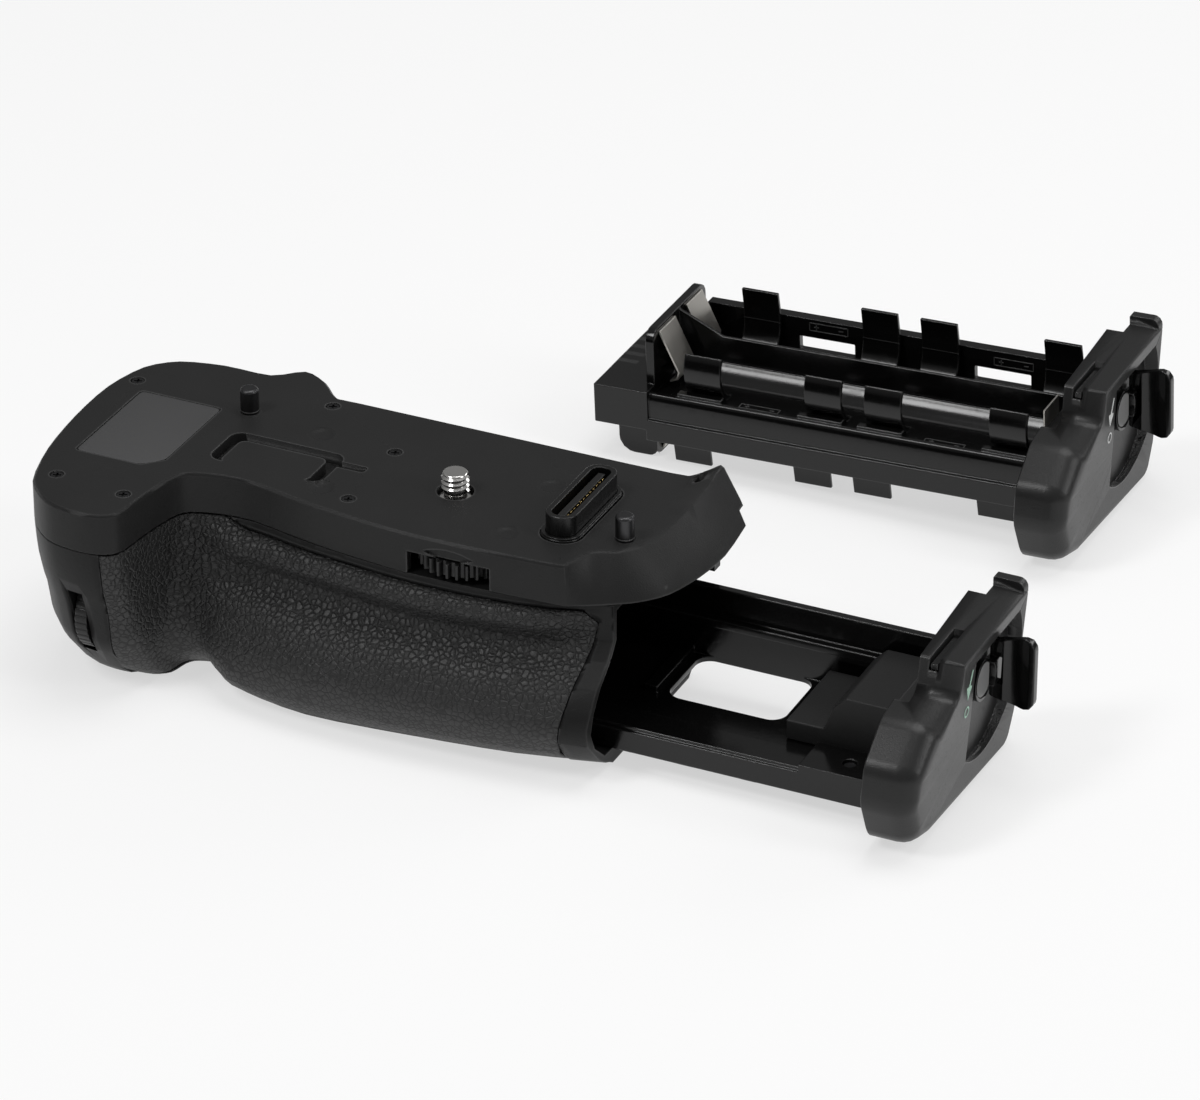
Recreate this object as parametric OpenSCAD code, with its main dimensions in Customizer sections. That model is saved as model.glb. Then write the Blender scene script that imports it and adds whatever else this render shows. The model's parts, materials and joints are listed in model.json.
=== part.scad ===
// Camera battery grip with a sliding battery tray and a second tray for round cells.
// Millimetres, +Z up. Origin: camera screw axis on the face that meets the camera.
// +X points to the tray mouth, +Y to the back of the camera.

/* [Grip body] */
// Height from the table to the face that meets the camera
grip_h = 50; // [50:0.5:54]
// Reach of the hand end from the camera screw
hand_reach = 94.6; // [93:0.2:98]
// Distance from the camera screw to the tray mouth
mouth_reach = 46; // [45:0.5:48]
// Distance from the camera screw to the flat back
back_reach = 28.5; // [28:0.25:31]
// Height of the camera-side cover
cover_h = 10; // [9.5:0.25:10.5]
// Thickness of the cover's plate
plate_t = 2.4; // [2:0.1:2.6]
// Wall of the cover's skirt
skirt_t = 1.8; // [1.4:0.1:2.2]
// Soft edge round the cover's plate
cover_edge = 0.6; // [0.3:0.1:1]
// Height of the raised corner beside the tray mouth
horn_h = 3.2; // [2:0.2:4]
// Outward swell of the raised corner's flank
horn_bulge = 1.2; // [0:0.1:2]
// Thickness of the deck over the tray chamber
deck_t = 2.2; // [1.8:0.1:2.4]
// Wall left at the lip of the tray mouth
lip_t = 2; // [1.6:0.1:2.6]
// Depth of the relief behind the lip
lip_depth = 9; // [6:0.5:12]

/* [Rubber] */
// Thickness of the front grip skin
rubber_t = 1.2; // [1:0.1:1.5]
// Plastic band left between the cover and the rubber
band_h = 2; // [1.5:0.25:3]
// Seam between the rubber and the plastic round it
rubber_seam = 0.3; // [0.2:0.05:0.4]
// Thickness of the pad under the base
pad_t = 1.2; // [1:0.1:1.4]
// Length of the base pad
pad_l = 64; // [50:1:80]
// Width of the base pad
pad_w = 30; // [26:1:34]

/* [Clearances] */
// Gap round a part bonded into a recess
seat_gap = 0.1; // [0.05:0.05:0.15]
// Gap between plastic parts that slide or turn
run_gap = 0.3; // [0.2:0.05:0.4]
// Radial gap of a shaft in its bearing
shaft_gap = 0.05; // [0.02:0.01:0.08]

/* [Camera coupling] */
// Camera screw diameter
screw_d = 6.35; // [6.3:0.05:6.4]
// Height of the camera screw over the cover
screw_len = 5; // [4.5:0.25:6]
// Diameter of the screw's hole in the cover
screw_hole_d = 8.4; // [8:0.1:9]
// Locating pin diameter
pin_d = 4.3; // [4:0.1:4.6]
// Locating pin height over the cover
pin_len = 6; // [5:0.25:7]
// Connector shroud height over the cover
plug_h = 5.6; // [5:0.2:6.5]
// Connector shroud length
plug_l = 26.5; // [25:0.5:28]
// Connector shroud width
plug_w = 7.4; // [7:0.2:8]
// Tripod socket thread diameter
socket_d = 6; // [5.9:0.05:6.1]

/* [Attachment drive] */
// Tooth module of the wheel and the screw's pinion
tooth_m = 0.7; // [0.68:0.01:0.72]
// Teeth on the attachment wheel
wheel_teeth = 30; // [28:1:32]
// Teeth on the screw's pinion
pinion_teeth = 12; // [12:1:13]
// Thickness of the attachment wheel
wheel_t = 3.6; // [3:0.1:3.8]
// Width of the wheel's window in the skirt
window_w = 20; // [19:0.5:21]

/* [Battery tray] */
// Length of both trays
tray_len = 113; // [111:0.5:114]
// Width of both trays
tray_w = 40; // [39:0.25:40.25]
// Distance that the battery tray is pulled out
tray_out = 65; // [60:1:70]
// Height of the tray's back wall
tray_wall_h = 23; // [20:0.5:24]
// Thickness of the tray's floor
tray_floor_t = 1.4; // [1.2:0.1:2]
// Length of the window in the tray's floor
tray_window_l = 28; // [24:0.5:29]
// Width of the window in the tray's floor
tray_window_w = 20; // [15:0.5:20]
// Travel of the release slider
release_travel = 2.5; // [2:0.25:2.75]

/* [End cap and latch] */
// Thickness of the end caps
cap_t = 13.8; // [13.4:0.1:14.2]
// Diameter of the latch hub
hub_d = 10; // [9.5:0.25:10.5]
// Reach of the latch key past its pin
key_reach = 9.8; // [9:0.2:10]
// Height of the latch key
key_h = 19.5; // [18:0.5:20]
// Thickness of the latch key
key_t = 2.2; // [1.8:0.1:2.4]
// Diameter of the key pin
key_pin_d = 1.6; // [1.4:0.1:1.8]
// Lift of the latch bolt
bolt_lift = 3.6; // [3:0.1:3.8]

/* [Round-cell tray] */
// Diameter of a round cell
cell_d = 14.5; // [14:0.1:14.5]
// Wall of the cell cradles
cradle_t = 1.2; // [1:0.1:1.4]
// Height of the tray's side rails
rail_h = 11.8; // [11:0.2:12]
// Width of a cell-holding finger
finger_w = 9.5; // [8:0.25:10]
// Where the second tray stands beside the first: along the grip
cell_tray_x = 48.9; // [45:0.1:60]
// Where the second tray stands behind the first
cell_tray_y = 129.4; // [120:0.1:140]

/* [Controls] */
// Front dial diameter
front_dial_d = 20; // [19:0.25:20.5]
// Front dial width
front_dial_w = 3; // [2.8:0.1:3.2]
// Height of the front dial's slot
front_slot_h = 18; // [16:0.5:19]
// Rear dial diameter
rear_dial_d = 14; // [13:0.25:14.5]
// Rear dial width
rear_dial_w = 5; // [4.5:0.1:5.5]
// Shutter button diameter
shutter_d = 9; // [8:0.25:9.5]
// Travel of the shutter button
shutter_travel = 1; // [0.8:0.1:1.2]
// Rear button diameter
rear_button_d = 7; // [6.5:0.25:7.5]
// Travel of the rear button
rear_button_travel = 0.8; // [0.6:0.1:1]
// Selector cap diameter
selector_d = 11; // [10.5:0.25:11.5]

/* [Hidden] */
$fn = 64;
cut = 0.5;
plastic = "#2b2b2b";
gloss = "#181818";
rubber = "#1c1c1c";
nickel = "#c8c6c0";
grey = "#5a5a5a";
brass = "#b59b5a";

floor_z = -grip_h;
deck_z = -cover_h;
left_x = -hand_reach;

// Chamber that takes either tray
tray_y = 3;
tray_z = floor_z + 4.4;
chamber_end = mouth_reach - tray_len - 2;
chamber_top = deck_z - deck_t;
chamber_floor = tray_z - run_gap;
chamber_back = tray_y + tray_w / 2 + run_gap;
chamber_front = tray_y - tray_w / 2 - run_gap;
upper_front = -13.9;
shelf_z = deck_z - 13;

// Smooth curves
tension = 0.42;
function blend(a, b, t) = a + (b - a) * t;
function hermite(p0, p1, p2, p3, t) = (2 * t * t * t - 3 * t * t + 1) * p1
    + (t * t * t - 2 * t * t + t) * tension * (p2 - p0)
    + (3 * t * t - 2 * t * t * t) * p2 + (t * t * t - t * t) * tension * (p3 - p1);
function open_curve(p, u) =
    let (n = len(p) - 1, i = min(n - 1, floor(u)))
    hermite(p[max(0, i - 1)], p[i], p[i + 1], p[min(n, i + 2)], u - i);
function closed_curve(p, steps) = let (n = len(p))
    [for (i = [0:n - 1]) for (s = [0:steps - 1])
        hermite(p[(i + n - 1) % n], p[i], p[(i + 1) % n], p[(i + 2) % n], s / steps)];
function flat2(p) = [p.x, p.y];
function unit(v) = v / max(norm(v), 1e-6);
function reversed(list) = [for (i = [len(list) - 1:-1:0]) list[i]];
function at_z(ring, z) = [for (p = ring) [p.x, p.y, z]];
// Polygon with an arc of its own radius at each corner: points are [x, y, r]
function arc_corners(p, steps) = let (n = len(p))
    [for (i = [0:n - 1]) let (
        c = flat2(p[i]),
        a = unit(flat2(p[(i + n - 1) % n]) - c),
        b = unit(flat2(p[(i + 1) % n]) - c),
        half = acos(max(-1, min(1, a * b))) / 2,
        centre = c + unit(a + b) * p[i][2] / sin(half),
        from = c + a * p[i][2] / tan(half) - centre,
        to = c + b * p[i][2] / tan(half) - centre)
        for (s = [0:steps]) centre + unit(blend(from, to, s / steps)) * p[i][2]];

// Closed solid through rings that turn anticlockwise, seen against the way they are stacked
module loft(rings, low, high) {
    n = len(rings[0]);
    last = (len(rings) - 1) * n;
    points = concat([for (r = rings) for (p = r) p], [low, high]);
    sides = [for (k = [0:len(rings) - 2]) for (j = [0:n - 1]) let (
        a = k * n + j, b = k * n + (j + 1) % n, c = b + n, d = a + n)
        each [[a, d, c], [a, c, b]]];
    bottom = [for (j = [0:n - 1]) [last + n, j, (j + 1) % n]];
    top = [for (j = [0:n - 1]) [last + n + 1, last + (j + 1) % n, last + j]];
    polyhedron(points, concat(sides, bottom, top), convexity = 8);
}
module rounded_box(size, r) linear_extrude(size.z) {
    translate([r, 0]) square([size.x - 2 * r, size.y]);
    translate([0, r]) square([size.x, size.y - 2 * r]);
    for (x = [r, size.x - r], y = [r, size.y - r]) translate([x, y]) circle(r);
}

// Outline of the body by height. Each row: height, left end, hand lobe, its flank, finger notch, then the front
// at 45 and 25 behind the screw, at the screw, 25 past it and at the mouth, then the back and the thumb boss.
LEVELS = [
    [deck_z, left_x, -44.4, -36, -16.4, -15.6, -19.3, -22, -21, -15.8, back_reach, 8.6],
    [deck_z - 10, left_x, -43, -34, -18.6, -17.8, -19.6, -22, -20.2, -16, back_reach, 8.6],
    [deck_z - 18, left_x + 0.4, -40.4, -33, -22, -24, -28, -30, -29, -25, back_reach, 7],
    [deck_z - 26, left_x + 0.5, -38.6, -31.6, -24, -28.5, -32.5, -33.5, -32.5, -29.7, back_reach, 5],
    [floor_z + 7, left_x + 1.2, -34.4, -27, -22.6, -29.6, -32, -31.8, -30, -26.6, back_reach, 4],
    [floor_z + 2, left_x + 3.2, -29.4, -22.4, -18, -26, -29, -27.6, -24.8, -19.6, back_reach - 1.2, 3.4],
    [floor_z, left_x + 7.4, -25.4, -18.8, -14.6, -22.5, -26.2, -24.4, -21.2, -15.8, back_reach - 3.5, 3]];
function level_index(z) = max([for (i = [0:len(LEVELS) - 2]) z <= LEVELS[i][0] ? i : 0]);
function level(z) = let (i = level_index(z))
    open_curve(LEVELS, i + (LEVELS[i][0] - z) / (LEVELS[i][0] - LEVELS[i + 1][0]));
// Control points of the body's outline at one height, from the front of the mouth round to its back
function outline(z) = let (
    v = level(z), l = v[1], drift = l - left_x, back = v[10], bulge = back + 3.6)
    [[mouth_reach, v[9], z], [25, v[8], z], [0, v[7], z], [-25, v[6], z], [-43, v[5], z],
    [-53 + 0.1 * drift, v[4], z], [-59.2 + 0.15 * drift, blend(v[4], v[3], 0.16), z],
    [-61.6 + 0.2 * drift, blend(v[4], v[3], 0.7), z], [-62.8 + 0.2 * drift, blend(v[3], v[2], 0.55), z],
    [-66.5 + 0.25 * drift, v[2] + 0.5, z], [-73 + 0.35 * drift, v[2], z],
    [l + 14 - 0.35 * drift, v[2] + 2 - 0.1 * drift, z], [l + 6.6 - 0.3 * drift, v[2] + 9.6 - 0.2 * drift, z],
    [l + 2.2, -20, z], [l + 0.2, -4, z], [l, 11, z],
    [l + 3, 23, z], [l + 9.4, back + 0.8, z], [l + 20, bulge - 0.2, z], [-63 + 0.3 * drift, bulge, z],
    [-56.5, back + v[11], z], [-50, back + v[11] * 0.68, z], [-44.2, back + 0.2, z], [-38, back, z],
    [0, back, z], [mouth_reach, back, z]];
OUTLINE_STEPS = 3;
function body_point(z, u) = open_curve(outline(z), u);
// Points of the outline moved square to it: inwards when d is positive
function skin_point(z, u, d) = let (
    h = min(z, deck_z),
    p = body_point(h, u),
    t = unit(flat2(body_point(h, u + 0.05)) - flat2(body_point(h, max(0, u - 0.05)))))
    [p.x + t.y * d, p.y - t.x * d, z];
function body_ring(z) = let (p = outline(z), n = (len(p) - 1) * OUTLINE_STEPS)
    reversed([for (i = [0:n]) open_curve(p, i / OUTLINE_STEPS)]);
function heart(z) = [level(min(z, deck_z))[1] + 20, -3, z];
RING_Z = concat([floor_z, floor_z + 0.7, floor_z + 2, floor_z + 4.2],
    [for (i = [7:-1:0]) deck_z - 4 * i - (i > 0 ? 1 : 0)]);
module body_solid() {
    rings = [for (z = RING_Z) body_ring(z)];
    loft(rings, heart(floor_z), heart(deck_z));
}

// Closed sheet between two grids of points with the same rows and columns
module skin(outer, inner, flip) {
    rows = len(outer) - 1;
    columns = len(outer[0]) - 1;
    w = columns + 1;
    half = w * (rows + 1);
    points = concat([for (r = outer) each r], [for (r = inner) each r]);
    front = [for (i = [0:rows - 1]) for (j = [0:columns - 1]) let (a = i * w + j)
        each [[a, a + w, a + w + 1], [a, a + w + 1, a + 1]]];
    back = [for (f = front) [f[0] + half, f[2] + half, f[1] + half]];
    rim = concat([for (j = [0:columns]) j], [for (i = [1:rows]) i * w + columns],
        [for (j = [columns - 1:-1:0]) rows * w + j], [for (i = [rows - 1:-1:1]) i * w]);
    m = len(rim);
    edge = [for (k = [0:m - 1]) let (a = rim[k], b = rim[(k + 1) % m])
        each [[a, b, b + half], [a, b + half, a + half]]];
    faces = concat(front, back, edge);
    polyhedron(points, flip ? [for (f = faces) [f[0], f[2], f[1]]] : faces, convexity = 8);
}
// Front rubber: it meets the cover round the hand lobe and leaves a plastic band along the front
RUBBER_TOP = deck_z - band_h;
RUBBER_LOW = floor_z + 0.8;
RUBBER_ROWS = 13;
RUBBER_COLUMNS = 40;
function smooth(t) = let (c = max(0, min(1, t))) c * c * (3 - 2 * c);
function rubber_top(u, seam) =
    blend(RUBBER_TOP + seam, deck_z - rubber_seam + 2 * seam, smooth((u - 4.1) / 0.6));
function rubber_left(t) = 9 + 0.45 * t * t;
function rubber_right(t) = 0.16 + 0.3 * pow(t, 0.6) + 0.22 * pow(max(0, 0.08 - t) / 0.08, 2);
function front_grid(d, seam) = [for (i = [0:RUBBER_ROWS]) let (t = i / RUBBER_ROWS)
    [for (j = [0:RUBBER_COLUMNS]) let (
        u = blend(rubber_left(1 - t) + 0.15 * seam, rubber_right(1 - t) - 0.04 * seam, j / RUBBER_COLUMNS))
        skin_point(blend(RUBBER_LOW - seam, rubber_top(u, seam), t), u, d)]];
// Rear rubber under the thumb boss
REAR_TOP = deck_z - 17;
REAR_LOW = floor_z + 5;
REAR_ROWS = 5;
REAR_COLUMNS = 10;
function rear_grid(d, seam) = [for (i = [0:REAR_ROWS]) [for (j = [0:REAR_COLUMNS])
    skin_point(blend(REAR_LOW - seam, REAR_TOP + seam, i / REAR_ROWS),
        blend(17.3 - 0.1 * seam, 20.6 + 0.1 * seam, j / REAR_COLUMNS), d)]];
module front_skin(out_d, in_d, seam) skin(front_grid(out_d, seam), front_grid(in_d, seam), false);
module rear_skin(out_d, in_d, seam) skin(rear_grid(out_d, seam), rear_grid(in_d, seam), true);

// Camera-side cover: each right-end row is its lower rim, its top edge and the foot of the ramp inside it
HORN = [
    [[40, back_reach, 0], [40, back_reach, 0], [39, back_reach - 1.5, 0]],
    [[50, back_reach + 1.4, 0], [46.5, back_reach + 1, 0.12], [43, back_reach - 1.5, 0]],
    [[57, back_reach + 2.7, 0], [51, back_reach + 2, 1], [45, back_reach - 1.7, 0]],
    [[57.8, back_reach + 1.8, 0], [51.7, back_reach + 1, 0.95], [45.2, back_reach - 3, 0]],
    [[59.4, 15, 0], [51.3, 15, 0.42], [45.8, 14, 0]],
    [[58.3, 3.6, 0], [50.5, 4, 0.1], [46.2, 3.4, 0]],
    [[55.3, -6.4, 0], [48.3, -5, 0], [46.1, -4.2, 0]],
    [[50.4, -12.6, 0], [44.6, -9.6, 0], [43.4, -8.2, 0]],
    [[44, -17, 0], [39.4, -12, 0], [38.6, -10.6, 0]],
    [[38.4, -19.9, 0], [36.8, -18.6, 0], [35.4, -18, 0]],
    [[33.6, -21, 0], [33.6, -21, 0], [33, -19.6, 0]]];
COVER_STEPS = 3;
function towards(a, b, d) = a + unit(b - a) * d;
function inset_open(p, d) = let (n = len(p))
    [for (i = [0:n - 1]) let (t = unit(flat2(p[min(n - 1, i + 1)]) - flat2(p[max(0, i - 1)])))
        [p[i].x + t.y * d, p[i].y - t.x * d, 0]];
// A closed ring: right-end points of its own, then the body's outline from the screw round to the back
function cover_ring(horn, d) = let (p = outline(deck_z))
    closed_curve(concat(horn, inset_open([for (i = [2:len(p) - 2]) p[i]], d)), COVER_STEPS);
function lift(p, dz) = [for (q = p) q + [0, 0, dz]];
module cover_shell() {
    rim = [for (r = HORN) r[0]];
    edge = [for (r = HORN) [r[1].x, r[1].y, r[1][2] * horn_h]];
    foot = [for (r = HORN) r[2]];
    flare = [for (i = [0:len(HORN) - 1])
        towards(blend(rim[i], edge[i], 0.5), foot[i], -horn_bulge * norm(rim[i] - edge[i]) / 10)];
    top = [for (i = [0:len(HORN) - 1]) towards(edge[i], [foot[i].x, foot[i].y, edge[i].z], cover_edge)];
    inner_rim = [for (i = [0:len(HORN) - 1]) towards(rim[i], foot[i], 1.2 * skirt_t)];
    // Turned in a little at the horn, so that the underside stays open to its own heart
    inner_top = [for (i = [0:len(HORN) - 1]) let (
        r = HORN[i],
        q = towards([r[1].x, r[1].y, 0], r[2], 1.2 * skirt_t + 0.4))
        [q.x, min(q.y, back_reach - skirt_t - 0.5 - 0.4 * i * i), 0]];
    rings = [at_z(cover_ring(inner_top, skirt_t + 0.5), -plate_t), at_z(cover_ring(inner_rim, skirt_t), deck_z),
        at_z(cover_ring(rim, 0), deck_z), at_z(cover_ring(flare, 0), deck_z / 2),
        lift(cover_ring(edge, 0), -cover_edge), cover_ring(top, cover_edge),
        cover_ring(foot, cover_edge + 1)];
    loft([for (r = rings) reversed(r)], heart(-plate_t), heart(0));
}
COVER_SCREWS = [[-89.3, 16.4], [-84.1, -30.7], [-66.2, -32.5], [-43, 24.2], [-20.3, 10.5], [-20, -13.2]];
screw_head_d = 3.2;
screw_head_h = 0.9;
screw_shank_d = 1.5;
screw_bury = 1.8;
boss_d = 3.6;
pin_root_d = pin_d - 0.8;
PINS = [[-59, 14.1], [43.2, -3.6]];
DIMPLES = [[-39.1, 11.3], [-27.8, -11], [18.3, 11.4], [18.5, -12.3]];
dimple_d = 6.6;
dimple_depth = 0.25;
label_size = [21, 31.3, 1];
label_at = [-86.2, -18.8];
label_depth = 0.4;
label_corner = 4.2;
plug_at = [29.7, 2.7];
flange_gap = 1.1;
flange_h = 1;
flange_sink = 0.6;
pin_sink = 0.1;
groove_w = 3.2;
groove_depth = 3;
groove_at = [-57.5, -9.5];
groove_size = [28.5, 13.8];
wheel_r = tooth_m * wheel_teeth / 2;
pinion_r = tooth_m * pinion_teeth / 2;
tooth_out = 0.8 * tooth_m;
wheel_x = 8.8;
wheel_at = [wheel_x, -sqrt(pow(wheel_r + pinion_r, 2) - wheel_x * wheel_x)];
wheel_z = deck_z + 1.4;
window_top = wheel_z + wheel_t + 0.6;

module groove() {
    translate([groove_at.x, groove_at.y, -groove_depth]) difference() {
        rounded_box([groove_size.x, groove_size.y, groove_depth + cut], 3);
        translate([groove_w, -cut, -cut])
            rounded_box([groove_size.x - 2 * groove_w, groove_size.y - groove_w + cut,
                groove_depth + 3 * cut], 2);
    }
    translate([groove_at.x + groove_size.x - 1, -1.2, -1.2]) rounded_box([7.6, 2.6, 1.2 + cut], 0.8);
}
module plug_outline(grow, h) {
    translate([plug_at.x - plug_w / 2 - grow, plug_at.y - plug_l / 2 - grow, 0])
        rounded_box([plug_w + 2 * grow, plug_l + 2 * grow, h], plug_w / 2 - 0.4 + grow);
}
brow_w = 12;
brow_h = 2.6;
brow_r = (brow_w * brow_w + brow_h * brow_h) / (4 * brow_h);
module wheel_window() {
    translate([wheel_x - window_w / 2, wheel_at.y - 20, deck_z - cut])
        cube([window_w, 20, window_top - deck_z + cut]);
    // Scooped brow over the window, for a fingertip
    translate([wheel_x, -21.4, window_top + 1]) rotate([90, 0, 0]) linear_extrude(6)
        intersection_for (s = [-1, 1]) translate([0, s * (brow_r - brow_h / 2)]) circle(brow_r);
}
module top_cover() color(plastic) {
    difference() {
        union() {
            cover_shell();
            // Floor of the cap-holder groove, hung under the plate
            translate([groove_at.x - 1.4, groove_at.y - 1, -groove_depth - 1.6])
                rounded_box([groove_size.x + 2.8, groove_size.y + 2.4, 2.4], 3);
        }
        groove();
        translate([label_at.x, label_at.y, -label_depth]) linear_extrude(label_size.z)
            polygon(arc_corners([[0, 0, 1], [label_size.x - label_corner, 0, 1],
                [label_size.x, label_corner, 1], [label_size.x, label_size.y, 1], [0, label_size.y, 1]], 4));
        translate([0, 0, -plate_t - cut]) plug_outline(-0.6, plate_t + 2 * cut);
        translate([0, 0, -flange_sink]) plug_outline(flange_gap + run_gap, flange_sink + cut);
        translate([0, 0, -plate_t - cut]) cylinder(d = screw_hole_d, h = plate_t + 2 * cut);
        for (p = PINS) translate([p.x, p.y, 0]) {
            translate([0, 0, -plate_t - cut]) cylinder(d = pin_root_d + 2 * seat_gap, h = plate_t + 2 * cut);
            translate([0, 0, -pin_sink]) cylinder(d = pin_d + 2 * run_gap, h = pin_sink + cut);
        }
        for (p = COVER_SCREWS) translate([p.x, p.y, -screw_head_h]) {
            cylinder(d = screw_head_d + 2 * seat_gap, h = screw_head_h + cut, $fn = 32);
            translate([0, 0, -cover_h]) cylinder(d = screw_shank_d + 2 * seat_gap, h = cover_h + cut, $fn = 24);
        }
        for (p = DIMPLES) translate([p.x, p.y, -dimple_depth]) cylinder(d = dimple_d, h = cut, $fn = 32);
        // Slot beside the horn
        translate([46.6, 24.6, -plate_t - cut]) rounded_box([2.2, 4.4, plate_t + 3], 1);
        wheel_window();
        // Slot that the raised latch bolt enters
        translate([bolt_x - run_gap, bolt_y - bolt_size.y / 2 - run_gap, deck_z - cut])
            cube([bolt_size.x + 2 * run_gap, bolt_size.y + 2 * run_gap,
                bolt_lift - bolt_sink - cap_drop + run_gap + cut]);
        // Room for the end cap's lip behind the horn
        translate([mouth_reach, cap_lip_y - run_gap, deck_z - cut])
            cube([cap_t + 3, 6, cap_lip_h + cap_drop + cut - 0.4 + run_gap]);
    }
}

// Housing under the cover
dial_front_z = deck_z - 21;
dial_proud = 0.4;
dial_front_at = [-74.2, level(dial_front_z)[2] + front_dial_d / 2 - dial_proud, dial_front_z];
slot_side = 0.5;
slot_in = 5.5;
axle_bury = 2.4;
dial_rear_at = [-83, back_reach - 3.9, deck_z - 8];
shutter_at = [left_x + 3.4, -14, deck_z - 12];
ring_d = 17;
ring_seat_x = left_x + 6.4;
rear_button_at = [-55.5, back_reach + 8.4, deck_z - 6.5];
selector_at = [-69.5, back_reach + 3.6, deck_z - 9];
selector_seat_d = 17;
axle_d = 2.4;
socket_at = [0, tray_y];
socket_flange_d = 12;
board_size = [32, 30, 1.2];
board_at = [-56, -9, deck_z + 1.4];
corner_l = 32;
wedge_in = 3.4;
module corner_wedge(y, z, size, l) translate([0, y, z]) rotate([90, 0, 90]) linear_extrude(l)
    polygon([[-1, -1], [size + 1, -1], [-1, size + 1]]);
module chamber() {
    long = mouth_reach - chamber_end + cut;
    difference() {
        translate([chamber_end, chamber_front, chamber_floor])
            cube([long, chamber_back - chamber_front, shelf_z - chamber_floor]);
        // Bevel behind the finger notch
        translate([chamber_end - cut, 0, 0]) corner_wedge(chamber_front, chamber_floor, wedge_in, corner_l);
    }
    translate([chamber_end, upper_front, shelf_z - cut])
        cube([long, chamber_back - upper_front, chamber_top - shelf_z + cut]);
}
// Relief behind the lip, following the housing's own section at the mouth
MOUTH_Z = [for (i = [0:7]) blend(floor_z + 4, deck_z - 4, i / 7)];
module mouth_relief() {
    front = [for (z = MOUTH_Z) [level(z)[9] + lip_t + 0.4, z]];
    translate([mouth_reach - lip_depth, 0, 0]) rotate([90, 0, 90]) linear_extrude(lip_depth + cut)
        polygon(concat(front, [[chamber_back, deck_z - 4], [chamber_back, floor_z + 4]]));
}
// Room for a dial and the ends of its axle
module dial_well(at, d, w) translate(at) rotate([0, 90, 0]) {
    translate([0, 0, -w / 2 - run_gap]) cylinder(d = d + 2 * run_gap + 0.4, h = w + 2 * run_gap, $fn = 48);
    translate([0, 0, -w / 2 - run_gap - axle_bury]) cylinder(d = axle_d + 2 * seat_gap,
        h = w + 2 * run_gap + 2 * axle_bury, $fn = 24);
}
module main_housing() color(plastic) difference() {
    union() {
        difference() {
            body_solid();
            front_skin(-2, rubber_t + seat_gap, rubber_seam);
            rear_skin(-2, rubber_t + seat_gap, rubber_seam);
            chamber();
            mouth_relief();
        }
        // Post that closes the corner between the horn and the end cap
        translate([mouth_reach - 3, post_y, cap_top - shoulder_h + run_gap])
            cube([3 + post_l - run_gap, back_reach - post_y, shoulder_h + cap_drop - run_gap]);
        for (p = COVER_SCREWS) translate([p.x, p.y, deck_z - cut])
            cylinder(d = boss_d, h = cover_h - plate_t + cut - 0.1, $fn = 32);
        for (x = [3, board_size.x - 3], y = [3, board_size.y - 3])
            translate([board_at.x + x, board_at.y + y, deck_z - cut])
                cylinder(d = 4, h = board_at.z - deck_z + cut, $fn = 24);
    }
    for (p = COVER_SCREWS) translate([p.x, p.y, deck_z - screw_bury])
        cylinder(d = screw_shank_d + 2 * seat_gap, h = cover_h + screw_bury, $fn = 24);
    // Base pad recess and tripod socket
    translate([socket_at.x - pad_l / 2 - seat_gap, socket_at.y - pad_w / 2 - seat_gap, floor_z - cut])
        rounded_box([pad_l + 2 * seat_gap, pad_w + 2 * seat_gap, pad_t + seat_gap + cut], 4);
    translate([socket_at.x, socket_at.y, floor_z - cut])
        cylinder(d = socket_flange_d + 2 * seat_gap, h = chamber_floor - floor_z - 0.4 + cut, $fn = 48);
    // Screw bush seat
    translate([0, 0, chamber_top - cut]) cylinder(d = bush_d + 2 * seat_gap, h = deck_t + 2 * cut, $fn = 48);
    // Front dial's well and its slot
    dial_well(dial_front_at, front_dial_d, front_dial_w);
    translate([dial_front_at.x - front_dial_w / 2 - slot_side,
        dial_front_at.y - front_dial_d / 2 + dial_proud - slot_in, dial_front_at.z - front_slot_h / 2])
            cube([front_dial_w + 2 * slot_side, 2 * slot_in, front_slot_h]);
    // Rear dial slot
    dial_well(dial_rear_at, rear_dial_d, rear_dial_w);
    // Shutter button seat, its lock ring's recess and the switch behind
    translate([ring_seat_x, shutter_at.y, shutter_at.z]) rotate([0, -90, 0]) {
        cylinder(d = ring_d + 2 * run_gap, h = 20, $fn = 48);
        translate([0, 0, -8]) cylinder(d = shutter_d + 2 * run_gap, h = 9, $fn = 48);
    }
    // Rear button well
    translate(rear_button_at) rotate([-90, 0, 0])
        translate([0, 0, -7]) cylinder(d = rear_button_d + 2 * run_gap, h = 20, $fn = 48);
    // Selector well
    translate(selector_at) rotate([-90, 0, 0])
        translate([0, 0, -6.4]) cylinder(d = selector_seat_d, h = 20, $fn = 48);
    translate(selector_at + [0, gimbal_y, 0]) rotate([0, 90, 0])
        cylinder(d = gimbal_pin_d + 2 * shaft_gap, h = selector_seat_d + 2 * gimbal_bury + 0.4, center = true,
            $fn = 24);
}
module front_grip_rubber() color(rubber) front_skin(0, rubber_t, 0);
module rear_grip_rubber() color(rubber) rear_skin(0, rubber_t, 0);
module base_pad() color(rubber) difference() {
    translate([socket_at.x - pad_l / 2, socket_at.y - pad_w / 2, floor_z])
        rounded_box([pad_l, pad_w, pad_t], 4);
    translate([socket_at.x, socket_at.y, floor_z - cut])
        cylinder(d = socket_flange_d + 2 * seat_gap, h = pad_t + 2 * cut);
}
module tripod_socket() color(nickel) translate([socket_at.x, socket_at.y, floor_z]) difference() {
    cylinder(d = socket_flange_d, h = chamber_floor - floor_z - 0.5);
    translate([0, 0, -cut]) cylinder(d = socket_d, h = chamber_floor - floor_z + cut);
}
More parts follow.
